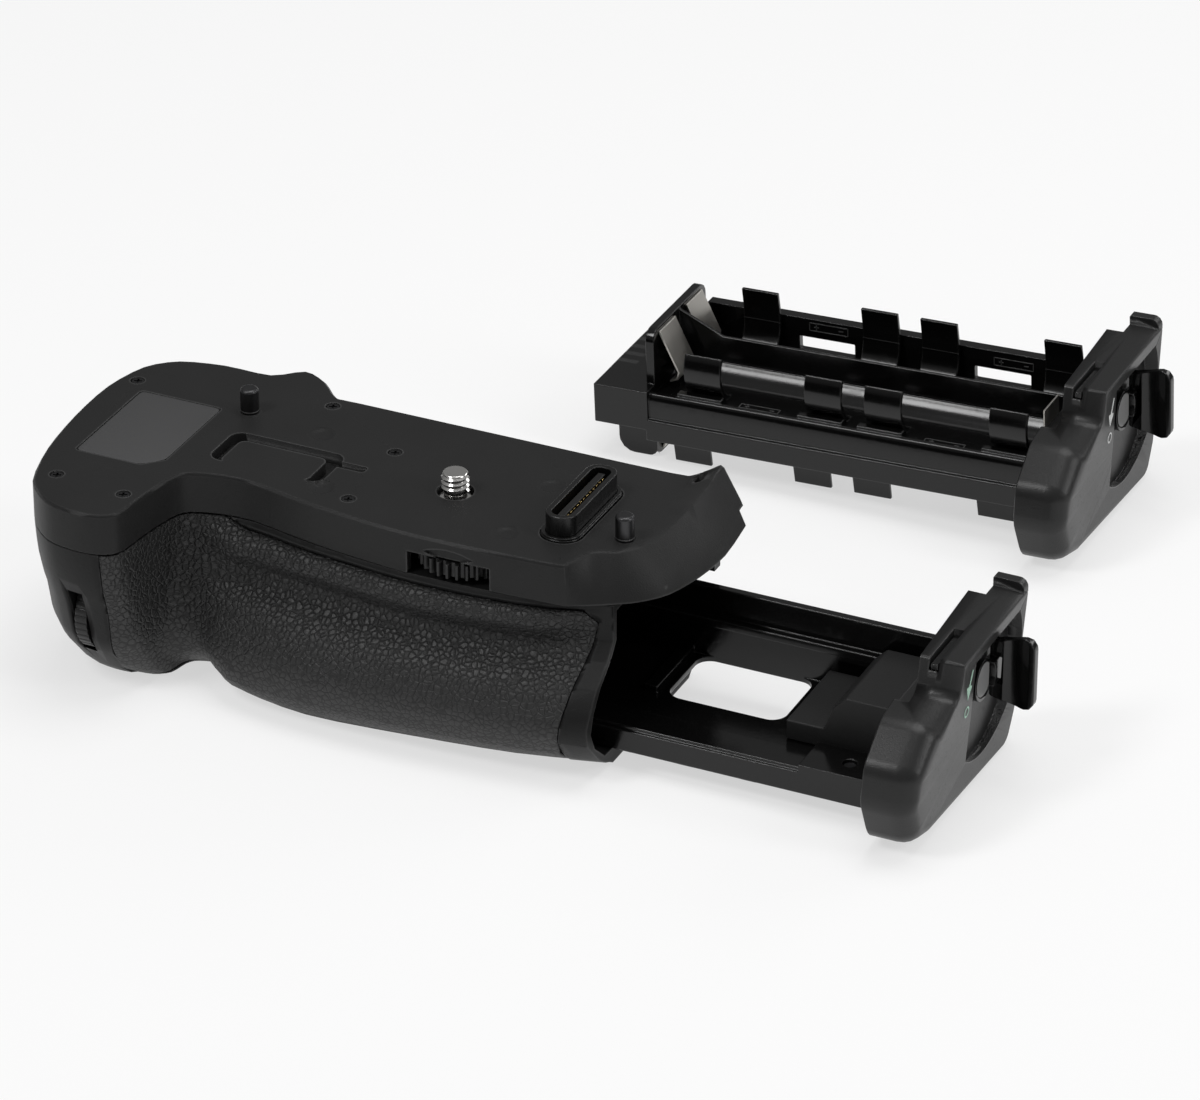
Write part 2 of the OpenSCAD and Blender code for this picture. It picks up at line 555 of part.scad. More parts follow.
module cover_screws() color(nickel) for (p = COVER_SCREWS) translate([p.x, p.y, 0]) {
    translate([0, 0, -screw_head_h]) cylinder(d = screw_head_d, h = screw_head_h - 0.1);
    translate([0, 0, deck_z - screw_bury + 0.4])
        cylinder(d = screw_shank_d, h = cover_h + screw_bury - 0.4 - screw_head_h);
}
pin_tip = 0.5;
module locating_pins() color(gloss) for (p = PINS) translate([p.x, p.y, 0]) {
    translate([0, 0, -plate_t]) cylinder(d = pin_root_d, h = plate_t);
    translate([0, 0, -pin_sink]) cylinder(d = pin_d, h = pin_sink + pin_len - pin_tip);
    translate([0, 0, pin_len - pin_tip]) cylinder(d1 = pin_d, d2 = pin_d - 2 * pin_tip, h = pin_tip);
}

// Camera connector
plug_wall = 1.4;
module connector_shroud() color(gloss) difference() {
    union() {
        translate([0, 0, -flange_sink]) plug_outline(flange_gap, flange_h);
        translate([0, 0, -flange_sink]) plug_outline(0, plug_h + flange_sink);
        translate([0, 0, -plate_t]) plug_outline(-0.7, plate_t);
    }
    translate([0, 0, 1]) plug_outline(-plug_wall, plug_h);
}
module connector_seal() color(rubber) difference() {
    translate([0, 0, flange_h - flange_sink]) plug_outline(flange_gap - 0.1, 0.5);
    plug_outline(0.05, plug_h);
}
tongue_l = plug_l - 2 * plug_wall - 2.4;
tongue_w = 1.7;
tongue_h = plug_h - 1.8;
CONTACTS = 12;
contact_pitch = tongue_l / (CONTACTS + 1);
module connector_insert() color(plastic)
    translate([plug_at.x - tongue_w / 2, plug_at.y - tongue_l / 2, 1]) cube([tongue_w, tongue_l, tongue_h]);
module connector_contacts() color(brass) for (s = [-1, 1], i = [1:CONTACTS])
    translate([plug_at.x + s * (tongue_w / 2 + 0.15), plug_at.y - tongue_l / 2 + i * contact_pitch,
        1 + tongue_h / 2])
        cube([0.3, 0.8, tongue_h - 0.8], center = true);
module circuit_board() color("#1d4a2a") translate(board_at) cube(board_size);
module chamber_contacts() color(brass) for (y = [-6, -2, 2, 6])
    translate([chamber_end, tray_y + y - 0.8, tray_z + 9]) cube([1.2, 1.6, 6]);

// Screw drive: the wheel's teeth, open to the thumb, turn the pinion on the camera screw
function polar(r, a) = r * [cos(a), sin(a)];
function involute(a) = tan(a) - a * PI / 180;
function tooth_half(n, r) = let (rp = tooth_m * n / 2, rb = rp * cos(20))
    90 / n - 180 / PI * (0.06 / rp - involute(20) + involute(acos(min(1, rb / r))));
function gear_points(n) = let (rp = tooth_m * n / 2, rb = rp * cos(20), root = rp - 1.1 * tooth_m,
    tip = rp + tooth_out,
    radii = [root, max(root + 0.01, rb), rp, tip])
    [for (i = [0:n - 1]) each concat(
        [for (k = [0:3]) polar(radii[k], 360 * i / n - tooth_half(n, max(radii[k], rb)))],
        [for (k = [3:-1:0]) polar(radii[k], 360 * i / n + tooth_half(n, max(radii[k], rb)))])];
mesh_angle = atan2(-wheel_at.y, -wheel_at.x);
axle_r = 2;
bush_d = 8;
journal_r = 2;
shaft_r = 2.6;
pinion_z = wheel_z;
module attachment_wheel() color(gloss) translate([wheel_at.x, wheel_at.y, wheel_z]) difference() {
    rotate(mesh_angle) linear_extrude(wheel_t) polygon(gear_points(wheel_teeth));
    translate([0, 0, -cut]) cylinder(r = axle_r + shaft_gap, h = wheel_t + 2 * cut);
    for (z = [-cut, wheel_t - 0.8]) translate([0, 0, z]) difference() {
        cylinder(r = wheel_r - 2, h = 0.8 + cut);
        cylinder(r = axle_r + 1.6, h = 0.8 + cut);
    }
}
module wheel_axle() color(nickel) translate([wheel_at.x, wheel_at.y, deck_z]) {
    cylinder(r = axle_r + 2, h = wheel_z - deck_z - run_gap);
    cylinder(r = axle_r, h = cover_h - plate_t - 0.2);
}
module screw_pinion() color(brass) translate([0, 0, pinion_z]) difference() {
    rotate(mesh_angle + 180 + 180 / pinion_teeth) linear_extrude(wheel_t) polygon(gear_points(pinion_teeth));
    translate([0, 0, -cut]) cylinder(r = shaft_r, h = wheel_t + 2 * cut);
}
module camera_screw() color(nickel) {
    translate([0, 0, screw_len - 0.6]) cylinder(d1 = screw_d, d2 = screw_d - 1.2, h = 0.6);
    cylinder(d = screw_d, h = screw_len - 0.6);
    translate([0, 0, -1.2]) cylinder(r = shaft_r, h = 1.2);
    translate([0, 0, -plate_t]) cylinder(d = screw_hole_d - 1.2, h = plate_t - 1.2);
    translate([0, 0, pinion_z]) cylinder(r = shaft_r, h = -plate_t - pinion_z);
    translate([0, 0, chamber_top]) cylinder(r = journal_r, h = pinion_z - chamber_top);
}
module screw_clip() color(nickel) translate([0, 0, pinion_z - 0.5]) difference() {
    cylinder(r = pinion_r - 0.6, h = 0.5);
    translate([0, 0, -cut]) cylinder(r = journal_r, h = 0.5 + 2 * cut);
}
module screw_bush() color(brass) difference() {
    union() {
        translate([0, 0, chamber_top]) cylinder(d = bush_d, h = deck_t);
        translate([0, 0, deck_z]) cylinder(d = bush_d + 2, h = 0.6);
    }
    translate([0, 0, chamber_top - cut]) cylinder(r = journal_r + shaft_gap, h = deck_t + 2);
}

// Controls
module knurled_dial(d, w, ridges) rotate([0, 90, 0]) translate([0, 0, -w / 2]) difference() {
    cylinder(d = d, h = w);
    for (i = [0:ridges - 1]) rotate(i * 360 / ridges) translate([d / 2 + 0.35, 0, -cut])
        cylinder(d = PI * d / ridges * 0.62, h = w + 2 * cut, $fn = 24);
    translate([0, 0, -cut]) cylinder(d = axle_d + 2 * shaft_gap, h = w + 2 * cut);
}
module dial_axle(at, w) translate(at) rotate([0, 90, 0])
    cylinder(d = axle_d, h = w + 2 * run_gap + 2 * axle_bury - 2 * seat_gap, center = true);
module front_dial() color(gloss) translate(dial_front_at) knurled_dial(front_dial_d, front_dial_w, 36);
module rear_dial() color(gloss) translate(dial_rear_at) knurled_dial(rear_dial_d, rear_dial_w, 28);
module front_dial_axle() color(nickel) dial_axle(dial_front_at, front_dial_w);
module rear_dial_axle() color(nickel) dial_axle(dial_rear_at, rear_dial_w);
ring_t = 3;
ring_bore_d = shutter_d + 2 * run_gap;
module shutter_lock_ring() color(plastic) translate([ring_seat_x - run_gap, shutter_at.y, shutter_at.z])
    rotate([0, -90, 0]) difference() {
        union() {
            cylinder(d = ring_d, h = ring_t);
            // Thumb tab on the ring's rim
            translate([-ring_d / 2 + 0.1, -1.6, 0.8]) cube([3, 3.2, ring_t - 0.2]);
        }
        translate([0, 0, -cut]) cylinder(d = ring_bore_d, h = ring_t + 2 * cut);
    }
module shutter_button() color(gloss) translate([ring_seat_x, shutter_at.y, shutter_at.z]) rotate([0, -90, 0]) {
    translate([0, 0, -4]) cylinder(d = shutter_d, h = 4 + ring_t + 0.4);
    translate([0, 0, ring_t + 0.4]) cylinder(d1 = shutter_d, d2 = shutter_d - 2, h = 0.6);
}
module shutter_switch() color(plastic) translate([ring_seat_x, shutter_at.y, shutter_at.z]) rotate([0, -90, 0])
    translate([0, 0, -8]) cylinder(d = shutter_d, h = 4 - shutter_travel - 0.2);
module rear_button() color(gloss) translate(rear_button_at) rotate([-90, 0, 0]) {
    translate([0, 0, -4]) cylinder(d = rear_button_d, h = 4.2);
    translate([0, 0, 0.2]) cylinder(d1 = rear_button_d, d2 = rear_button_d - 1.6, h = 0.6);
}
module rear_button_switch() color(plastic) translate(rear_button_at) rotate([-90, 0, 0])
    translate([0, 0, -7]) cylinder(d = rear_button_d, h = 3 - rear_button_travel - 0.2);
gimbal_d = selector_seat_d - 1.2;
gimbal_t = 2;
gimbal_y = -3.6;
gimbal_bore_d = gimbal_d - 5;
gimbal_pin_d = 1.2;
gimbal_bury = 1;
// Ring that tips on two pins in the housing, with the cap's own two pins square to them
module selector_ring() color(plastic) translate(selector_at + [0, gimbal_y, 0]) difference() {
    union() {
        rotate([-90, 0, 0]) cylinder(d = gimbal_d, h = gimbal_t, center = true);
        rotate([0, 90, 0])
            cylinder(d = gimbal_pin_d, h = selector_seat_d + 2 * gimbal_bury, center = true, $fn = 24);
    }
    rotate([-90, 0, 0]) cylinder(d = gimbal_bore_d, h = gimbal_t + 2 * cut, center = true);
    cylinder(d = gimbal_pin_d + 2 * shaft_gap, h = gimbal_bore_d + 2 * gimbal_bury + 0.4, center = true,
        $fn = 24);
}
module selector_cap() color(gloss) translate(selector_at) rotate([-90, 0, 0]) {
    translate([0, 0, gimbal_y - gimbal_t / 2]) cylinder(d = gimbal_bore_d - 1.6, h = gimbal_t);
    translate([0, 0, gimbal_y]) rotate([90, 0, 0])
        cylinder(d = gimbal_pin_d, h = gimbal_bore_d + 2 * gimbal_bury, center = true, $fn = 24);
    translate([0, 0, gimbal_y + gimbal_t / 2]) cylinder(d = 5, h = -gimbal_y - gimbal_t / 2 - 0.4);
    translate([0, 0, -0.4]) cylinder(d = selector_d, h = 1.8);
    translate([0, 0, 1.4]) cylinder(d1 = selector_d, d2 = selector_d - 3, h = 0.8);
}

// Trays are drawn closed, then put where they stand
tray_end = mouth_reach - tray_len;
tray_front = tray_y - tray_w / 2;
tray_back = tray_y + tray_w / 2;
tray_floor = tray_z + 5.3;
module pulled() translate([tray_out, 0, 0]) children();
rail_t = 2;
bay_end = mouth_reach - 28;
wedge_l = 20;
window_x = bay_end - 4 - tray_window_l;
window_look = 6;
window_r = 3.6;
nub_pitch = 15;
nub_size = [4, 1.6, 1];
strip_in = 0.8;
strip_w = 7.6;
strip_h = 0.8;
rib_w = 3;
rib_h = 1.6;
module tray_frame() color(gloss) pulled() difference() {
    union() {
        translate([tray_end, tray_front, tray_floor - tray_floor_t]) cube([tray_len, tray_w, tray_floor_t]);
        // Side rails
        translate([tray_end, tray_front, tray_z]) cube([tray_len, rail_t, 5.3]);
        translate([tray_end, tray_front + strip_in, tray_floor - cut])
            cube([tray_len - wedge_l, strip_w, strip_h + cut]);
        // Rib at the inner end of the window
        translate([window_x - 5, tray_back - rail_t - tray_window_w, tray_floor - cut])
            cube([rib_w, tray_window_w, rib_h + cut]);
        // Back wall with its ledge
        translate([tray_end, tray_back - rail_t, tray_z]) cube([tray_len, rail_t, tray_wall_h]);
        translate([tray_end, tray_back - rail_t - 2, tray_z + tray_wall_h - 9]) cube([tray_len, 2.5, 2]);
        // End block that carries the contacts
        translate([tray_end, tray_front + 6, tray_floor - cut]) cube([14, tray_w - 6, 14]);
        // Corner block beside the cap
        translate([mouth_reach - wedge_l, tray_front, tray_floor - cut]) cube([wedge_l, 11, 2.4]);
        // Guide nubs under the front rail
        for (i = [0:3]) translate([tray_end + corner_l + 2 + i * nub_pitch, tray_front + 0.4, tray_z - 0.2])
            cube(nub_size);
    }
    // Window in the floor
    translate([window_x, tray_back - rail_t - tray_window_w, tray_floor - tray_floor_t - cut])
        rounded_box([tray_window_l, tray_window_w, tray_floor_t + 2 * cut], window_r);
    // Daylight behind the window, through the back rail's foot
    translate([window_x - window_look, tray_back - rail_t - cut, tray_z - cut])
        cube([tray_window_l + window_look, rail_t + 2 * cut, tray_floor - tray_floor_t - tray_z + cut]);
    // Bevel along the inner end, where the finger notch leaves less room
    translate([tray_end - cut, 0, 0]) corner_wedge(tray_front, tray_z, wedge_in + 1.2, corner_l + cut);
    // Contact slots through the end block
    for (y = [-6, -2, 2, 6]) translate([tray_end - cut, tray_y + y - 1, tray_z + 9]) cube([6, 2, 6.5]);
    translate([mouth_reach - wedge_l / 2, tray_front + 5.5, tray_floor]) cylinder(d = 3.2, h = 4);
}
module tray_contacts() color(brass) pulled() for (y = [-6, -2, 2, 6])
    translate([tray_end + 0.2, tray_y + y - 0.8, tray_z + 9]) cube([5.3, 1.6, 6]);
module tray_screw() color(nickel) pulled() translate([mouth_reach - wedge_l / 2, tray_front + 5.5, tray_floor])
    cylinder(d = 3, h = 1.2);
// Release slider: a low tongue at the battery's end, a ramp and a raised thumb plate
slider_top = tray_floor + 13.7;
slider_low = tray_floor + 5;
slider_plate_x = bay_end + 14;
slider_end = mouth_reach - release_travel - 0.4;
slider_nose = 3;
slider_ramp = 2;
slider_front = tray_y - 8.2;
slider_w = 24;
module release_slider() color(gloss) pulled() translate([0, slider_front + slider_w, 0]) rotate([90, 0, 0])
    linear_extrude(slider_w) polygon([[bay_end, tray_floor + 0.1], [slider_end, tray_floor + 0.1],
        [slider_end, slider_top], [slider_plate_x, slider_top],
        [slider_plate_x - slider_nose, slider_top - slider_nose],
        [slider_plate_x - slider_nose - slider_ramp, slider_low], [bay_end, slider_low]]);

// End cap shared by both trays
cap_drop = 1;
cap_lip_h = 2.8;
cap_lip_y = back_reach + 0.8;
cap_back = back_reach + 3.2;
cap_top = deck_z - cap_drop;
cap_out = mouth_reach + cap_t;
cap_lean = 2.6;
latch_y = 12;
latch_z = deck_z - 14.5;
// Section of the cap, from the ledge forwards and down: [y, z, corner radius]
CAP_SECTION = [[cap_back, cap_top, 1.2], [-5.6, cap_top, 1], [-7.6, cap_top - 7.6, 3], [-19, cap_top - 9.4, 7],
    [-28.4, cap_top - 16.4, 6], [-30, cap_top - 25, 8], [-25, floor_z + 2.6, 7], [-15, floor_z, 10],
    [cap_back - 3, floor_z, 4], [cap_back, floor_z + 8, 6]];
CAP_STEPS = 4;
// Round of the outer face: how far the edge draws in at each step out
round_from = 0.55;
round_in = 4;
CAP_ROUND = concat([[0, 0.4], [0.03, 0], [round_from, 0]],
    [for (a = [18:18:90]) [blend(round_from, 1, sin(a)), round_in * (1 - cos(a))]]);
function cap_ease(p) = p.y > cap_top - 2 ? 0.12 : p.x > post_y - 1 ? 0.3 : p.y > cap_top - 8 ? 0.35 : 1;
function cap_depth(z) = cap_t - cap_lean * (cap_top - z) / (cap_top - floor_z);
function cap_ring(t, d) = let (
    base = arc_corners(CAP_SECTION, CAP_STEPS),
    n = len(base))
    [for (i = [0:n - 1]) let (
        p = base[i],
        g = unit(base[(i + 1) % n] - base[(i + n - 1) % n]),
        e = d * cap_ease(p))
        [mouth_reach + t * cap_depth(p.y), p.x - g.y * e, p.y + g.x * e]];
cap_heart = [6, -30];
pocket_r = 18.4;
pocket_depth = 4.2;
shoulder_h = 10.4;
shoulder_l = 1.7;
shoulder_slant = 2;
post_l = 6.2;
post_y = 25.4;
pin_out = 6.4;
key_root = 6.4;
key_corner = 2.6;
lug_t = 2.6;
lug_past = 1.5;
lug_half = 3;
lug_sweep = sqrt(lug_t * lug_t / 4 + lug_past * lug_past) + 0.2;
pinch_r = 10;
pinch_depth = 0.5;
hinge_x = cap_out - 2.4;
disc_x = cap_out - 2.8;
bolt_x = mouth_reach + 6;
bolt_size = [1.8, 14, 8];
bolt_y = 1;
bolt_sink = 1.2;
lip_r = 2;
module cap_body() difference() {
    union() {
        loft([for (c = CAP_ROUND) cap_ring(c[0], c[1])], [mouth_reach, cap_heart.x, cap_heart.y],
            [mouth_reach + cap_depth(cap_heart.y), cap_heart.x, cap_heart.y]);
        // Lip along the back of the ledge, rounded into the outer face
        translate([mouth_reach, cap_back, cap_top]) rotate([90, 0, 0]) linear_extrude(cap_back - cap_lip_y)
            polygon(arc_corners([[post_l, -1, 0.2], [cap_t - 0.2, -1, 0.2],
                [cap_t - 0.2, cap_lip_h - 0.4, lip_r], [post_l, cap_lip_h - 0.4, 0.4]], 4));
    }
    // Pocket that the folded key sweeps
    translate([cap_out - pocket_depth, latch_y, latch_z]) rotate([0, 90, 0]) intersection() {
        cylinder(r = pocket_r, h = 20);
        translate([-key_h / 2 - 0.5, -key_h / 2 - 0.5, 0]) cube([40, 40, 20]);
    }
    // Notch round the housing's corner post, and a shoulder in front of it
    translate([mouth_reach - cut, post_y - run_gap, cap_top - shoulder_h])
        cube([post_l + cut, cap_back - post_y + 1, shoulder_h + cap_lip_h + cut]);
    translate([mouth_reach - cut, 0, cap_top - shoulder_h]) linear_extrude(shoulder_h + cap_lip_h + cut)
        polygon([[0, cap_back + 1], [shoulder_l + cut, cap_back + 1], [shoulder_l + shoulder_slant + cut, -12],
            [0, -12]]);
    // Hub bearing and the bolt's slot
    translate([mouth_reach + 3, latch_y, latch_z]) rotate([0, 90, 0]) cylinder(d = hub_d + 2 * run_gap, h = 20);
    translate([bolt_x - run_gap, bolt_y - bolt_size.y / 2 - run_gap,
        cap_top - bolt_sink - bolt_size.z - run_gap])
        cube([bolt_size.x + 2 * run_gap, bolt_size.y + 2 * run_gap, bolt_sink + bolt_size.z + 2]);
}
module latch_hub() difference() {
    translate([0, latch_y, latch_z]) {
        translate([mouth_reach + 3.3, 0, 0]) rotate([0, 90, 0]) cylinder(d = hub_d, h = cap_t - 5.5);
        // Lug that carries the key's pin
        translate([hinge_x - lug_t / 2, 0, -lug_half]) cube([lug_t, pin_out + lug_past, 2 * lug_half]);
    }
    translate([disc_x, latch_y, latch_z]) rotate([0, 90, 0]) cylinder(d = hub_d - 1.8, h = 4);
    translate([hinge_x, latch_y + pin_out, latch_z - 10]) cylinder(d = key_pin_d, h = 20);
}
module latch_disc() translate([disc_x, latch_y, latch_z]) rotate([0, 90, 0])
    difference() {
        cylinder(d = hub_d - 2, h = 0.5);
        translate([-5, 3, -cut]) cube([10, 5, 2]);
    }
module key_pin() translate([hinge_x, latch_y + pin_out, latch_z])
    cylinder(d = key_pin_d, h = 2 * key_root - 1, center = true);
// Folding key, drawn standing out, with pinched faces
module latch_key() translate([hinge_x, latch_y + pin_out, latch_z]) difference() {
    intersection() {
        union() {
            translate([0, 0, -key_h / 2]) cylinder(d = key_t, h = key_h);
            translate([0, -key_t / 2, -key_h / 2]) cube([key_reach, key_t, key_h]);
        }
        translate([0, key_t, 0]) rotate([90, 0, 0]) linear_extrude(2 * key_t)
            polygon(arc_corners([[-key_t, -key_root, 1], [key_reach, -key_h / 2, key_corner],
                [key_reach, key_h / 2, key_corner], [-key_t, key_root, 1]], 4));
    }
    for (s = [-1, 1]) translate([key_reach * 0.55, s * (key_t / 2 + pinch_r - pinch_depth), -key_h])
        cylinder(r = pinch_r, h = 2 * key_h);
    // Slot that clears the hub's lug all through the fold
    translate([-key_t, -key_t, -lug_half - run_gap])
        cube([key_t + lug_sweep, 2 * key_t, 2 * (lug_half + run_gap)]);
    translate([0, 0, -key_h]) cylinder(d = key_pin_d + 2 * shaft_gap, h = 2 * key_h);
}
module latch_bolt() translate([bolt_x, bolt_y - bolt_size.y / 2, cap_top - bolt_sink - bolt_size.z])
    cube(bolt_size);
module tray_cap() color(plastic) pulled() cap_body();
module tray_latch_hub() color(gloss) pulled() latch_hub();
module tray_latch_disc() color(grey) pulled() latch_disc();
module tray_key_pin() color(nickel) pulled() key_pin();
module tray_latch_key() color(gloss) pulled() latch_key();
module tray_latch_bolt() color(gloss) pulled() latch_bolt();

// Round-cell tray: two lanes above and two below a middle web
mid_z = tray_z + 16.4;
end_half = 16.6;
lane_y = cell_d / 2 + 0.5;
lane_z = cell_d / 2 + 0.7;
web_t = 1.4;
cradle_r = cell_d / 2 + 0.25;
end_wall_t = 2.2;
slab_l = 14;
foot_l = 10;
foot_r = 4;
slab_low = 7.3;
slab_high = 2.8;
rail_top = 1.8;
cell_rail_t = 3;
cell_end = tray_end + slab_l;
lane_l = tray_len - slab_l;
lane_half = lane_y + cradle_r;
// The tray stands on its inner end and its cap, so it leans a little
lean = atan((mid_z - end_half - floor_z) / (lane_l + foot_l - foot_r));
module stood() translate([cell_tray_x + mouth_reach, cell_tray_y, floor_z]) rotate([0, -lean, 0])
    translate([-mouth_reach, 0, -floor_z]) children();
FINGERS = [0.16, 0.475, 0.63, 0.95];
panel_shift = -1.2;
hook_shift = -2.9;
lower_shift = -5;
panel_h = 8.6;
hook_to = 32;
ledge_w = 2.2;
ledge_h = 2.6;
lane_wall_t = 0.9;
lane_wall_half = 10.7;
gusset_l = 12;
SLOTS = [0.24, 0.7];
slot_l = 14.4;
slot_h = 3.6;
// Side rail's section: a step at the outside, a bevel along the top
RAIL = [[0, rail_top - rail_h], [0, -4.6], [0.9, -4.4], [0.9, 0.3], [1.9, rail_top], [cell_rail_t, rail_top],
    [cell_rail_t, rail_top - rail_h]];
module cradle_section(grow, from, to) intersection() {
    difference() {
        circle(r = cradle_r + grow);
        circle(r = cradle_r);
    }
    polygon(concat([[0, 0]], [for (i = [0:6]) let (a = blend(from, to, i / 6)) 40 * [cos(a), sin(a)]]));
}
// Panel that goes on up from a cradle and leans in over the cell
module panel_section() {
    cradle_section(cradle_t, -78.1, 4);
    polygon([[cradle_r, 0], [cradle_r + cradle_t, 0], [cradle_r + cradle_t, 3], [cradle_r + 0.1, panel_h],
        [cradle_r - 0.9, panel_h], [cradle_r, 3]]);
}
module in_lane(s, x, l) translate([x, tray_y + s * lane_y, lane_z]) rotate([90, 0, 90]) linear_extrude(l)
    mirror([s > 0 ? 0 : 1, 0]) children();
// The lower half is the upper one turned over about the tray's own middle line
module turned() translate([0, tray_y, 0]) rotate([180, 0, 0]) translate([0, -tray_y, 0]) children();
module cell_side(shift) {
    // Cradle along the inner side of each lane
    for (s = [-1, 1]) in_lane(s, cell_end, lane_l) cradle_section(cradle_t, -150, -78);
    for (f = FINGERS) let (x = cell_end + f * lane_l + shift - finger_w / 2) {
        in_lane(1, x + panel_shift, finger_w) panel_section();
        in_lane(-1, x + hook_shift, finger_w) cradle_section(cradle_t, -78.1, hook_to);
        translate([x + hook_shift - 1.5, tray_front + cell_rail_t - 0.4, 0])
            cube([finger_w + 2, ledge_w, ledge_h]);
    }
    translate([cell_end - cut, tray_front, 0]) rotate([90, 0, 90]) linear_extrude(lane_l + cut) polygon(RAIL);
    // End wall
    translate([cell_end - end_wall_t, tray_y - lane_half, 0]) rotate([90, 0, 90]) linear_extrude(end_wall_t)
        polygon(arc_corners([[0, 0, 0.5], [2 * lane_half, 0, 0.5], [2 * lane_half, end_half, 3],
            [0, end_half, 3]], 4));
}
module cell_frame() color(gloss) stood() translate([0, 0, mid_z]) difference() {
    union() {
        cell_side(0);
        turned() cell_side(lower_shift);
        // Middle web and end slab
        translate([cell_end - cut, tray_front + 2, -web_t / 2]) cube([lane_l + cut, tray_w - 4, web_t]);
        translate([tray_end, tray_front, -slab_low]) cube([slab_l, tray_w, slab_low + slab_high]);
        // Foot that the tray stands on
        translate([cell_end - foot_l, tray_y + lane_half, 0]) rotate([90, 0, 0])
            linear_extrude(2 * lane_half) polygon(arc_corners([[0, 0, 0.5], [foot_l, 0, 0.5],
                [foot_l, -end_half, 2], [0, -end_half, foot_r]], 4));
        // Thin wall between the lanes, with a gusset up the end wall
        translate([cell_end - cut, tray_y - lane_wall_t / 2, -lane_wall_half])
            cube([lane_l + cut, lane_wall_t, 2 * lane_wall_half]);
        translate([cell_end - cut, tray_y + lane_wall_t / 2, 0]) rotate([90, 0, 0]) linear_extrude(lane_wall_t)
            polygon([[0, 0.2 - end_half], [gusset_l, -lane_wall_half], [gusset_l, lane_wall_half],
                [0, end_half - 0.2]]);
    }
    // Windows through the back rail between the fingers
    for (f = SLOTS) translate([cell_end + f * lane_l, tray_back - cell_rail_t - cut, web_t / 2 + 0.8])
        cube([slot_l, cell_rail_t + 2 * cut, slot_h]);
    // Seats of the output contacts
    for (y = [-6, -2, 2, 6]) translate([tray_end - cut, tray_y + y - 1, -7.5 + 3]) cube([6, 2, 7]);
}
// Leaf springs: each leans out from the top of the end wall and curls back at its tip
leaf_t = 0.45;
leaf_top = end_half - 1;
leaf_out = 5.2;
leaf_bend = 5.4;
module cell_springs() color(nickel) stood() translate([0, 0, mid_z]) for (m = [0, 1]) mirror([0, 0, m])
    for (s = [-1, 1]) translate([cell_end, tray_y + s * lane_y + 4.5, 0]) rotate([90, 0, 0]) linear_extrude(9)
        polygon([[0.05, leaf_top], [leaf_t, leaf_top], [leaf_out, leaf_bend],
            [leaf_out - leaf_t, leaf_bend - 2], [leaf_out / 2, leaf_bend - 2.9],
            [leaf_out / 2 - 0.1, leaf_bend - 2.5], [leaf_out - 2 * leaf_t, leaf_bend - 1.7],
            [leaf_out - leaf_t, leaf_bend - 0.1], [0.05, leaf_top - leaf_t]]);
module cell_plates() color(nickel) stood() translate([0, 0, mid_z]) for (m = [0, 1]) mirror([0, 0, m])
    for (s = [-1, 1]) translate([mouth_reach - 0.5, tray_y + s * lane_y - 4.5, 3.5]) cube([0.45, 9, 9]);
module cell_contacts() color(brass) stood() translate([0, 0, mid_z]) for (y = [-6, -2, 2, 6])
    translate([tray_end + 0.2, tray_y + y - 0.8, -4.3]) cube([5.2, 1.6, 6]);
module cell_cap() color(plastic) stood() cap_body();
module cell_latch_hub() color(gloss) stood() latch_hub();
module cell_latch_disc() color(grey) stood() latch_disc();
module cell_key_pin() color(nickel) stood() key_pin();
module cell_latch_key() color(gloss) stood() latch_key();
module cell_latch_bolt() color(gloss) stood() latch_bolt();

top_cover();
main_housing();
front_grip_rubber();
rear_grip_rubber();
base_pad();
tripod_socket();
cover_screws();
locating_pins();
connector_shroud();
connector_seal();
connector_insert();
connector_contacts();
circuit_board();
chamber_contacts();
wheel_axle();
screw_bush();
front_dial_axle();
rear_dial_axle();
shutter_switch();
rear_button_switch();
attachment_wheel();
camera_screw();
screw_pinion();
screw_clip();
front_dial();
rear_dial();
shutter_button();
shutter_lock_ring();
rear_button();
selector_ring();
selector_cap();
tray_frame();
tray_cap();
tray_contacts();
tray_screw();
release_slider();
tray_latch_hub();
tray_latch_disc();
tray_key_pin();
tray_latch_key();
tray_latch_bolt();
cell_frame();
cell_cap();
cell_springs();
cell_plates();
cell_contacts();
cell_latch_hub();
cell_latch_disc();
cell_key_pin();
cell_latch_key();
cell_latch_bolt();
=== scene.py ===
# Camera battery grip with its battery tray pulled out and a spare tray for round cells behind it
import json
import math

import bpy
from mathutils import Matrix, Vector


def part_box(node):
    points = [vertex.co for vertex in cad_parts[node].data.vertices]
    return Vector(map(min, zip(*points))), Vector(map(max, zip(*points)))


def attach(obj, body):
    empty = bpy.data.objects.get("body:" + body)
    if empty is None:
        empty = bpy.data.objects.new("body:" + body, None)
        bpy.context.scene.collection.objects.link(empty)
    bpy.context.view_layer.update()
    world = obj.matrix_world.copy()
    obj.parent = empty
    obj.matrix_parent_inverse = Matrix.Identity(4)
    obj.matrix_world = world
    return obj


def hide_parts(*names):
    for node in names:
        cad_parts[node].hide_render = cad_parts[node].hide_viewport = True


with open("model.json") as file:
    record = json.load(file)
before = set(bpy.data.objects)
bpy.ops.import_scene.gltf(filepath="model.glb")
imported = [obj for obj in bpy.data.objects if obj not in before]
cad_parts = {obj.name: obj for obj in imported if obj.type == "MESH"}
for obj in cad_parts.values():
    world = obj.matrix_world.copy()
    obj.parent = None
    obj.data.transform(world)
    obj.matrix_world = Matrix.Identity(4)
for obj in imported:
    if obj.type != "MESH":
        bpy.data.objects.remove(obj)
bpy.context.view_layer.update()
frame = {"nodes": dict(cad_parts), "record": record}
nodes = frame["nodes"]
record = frame["record"]
bodyOf = {node: body for body, names in record["behaviour"]["bodies"].items() for node in names}
mm = 0.001
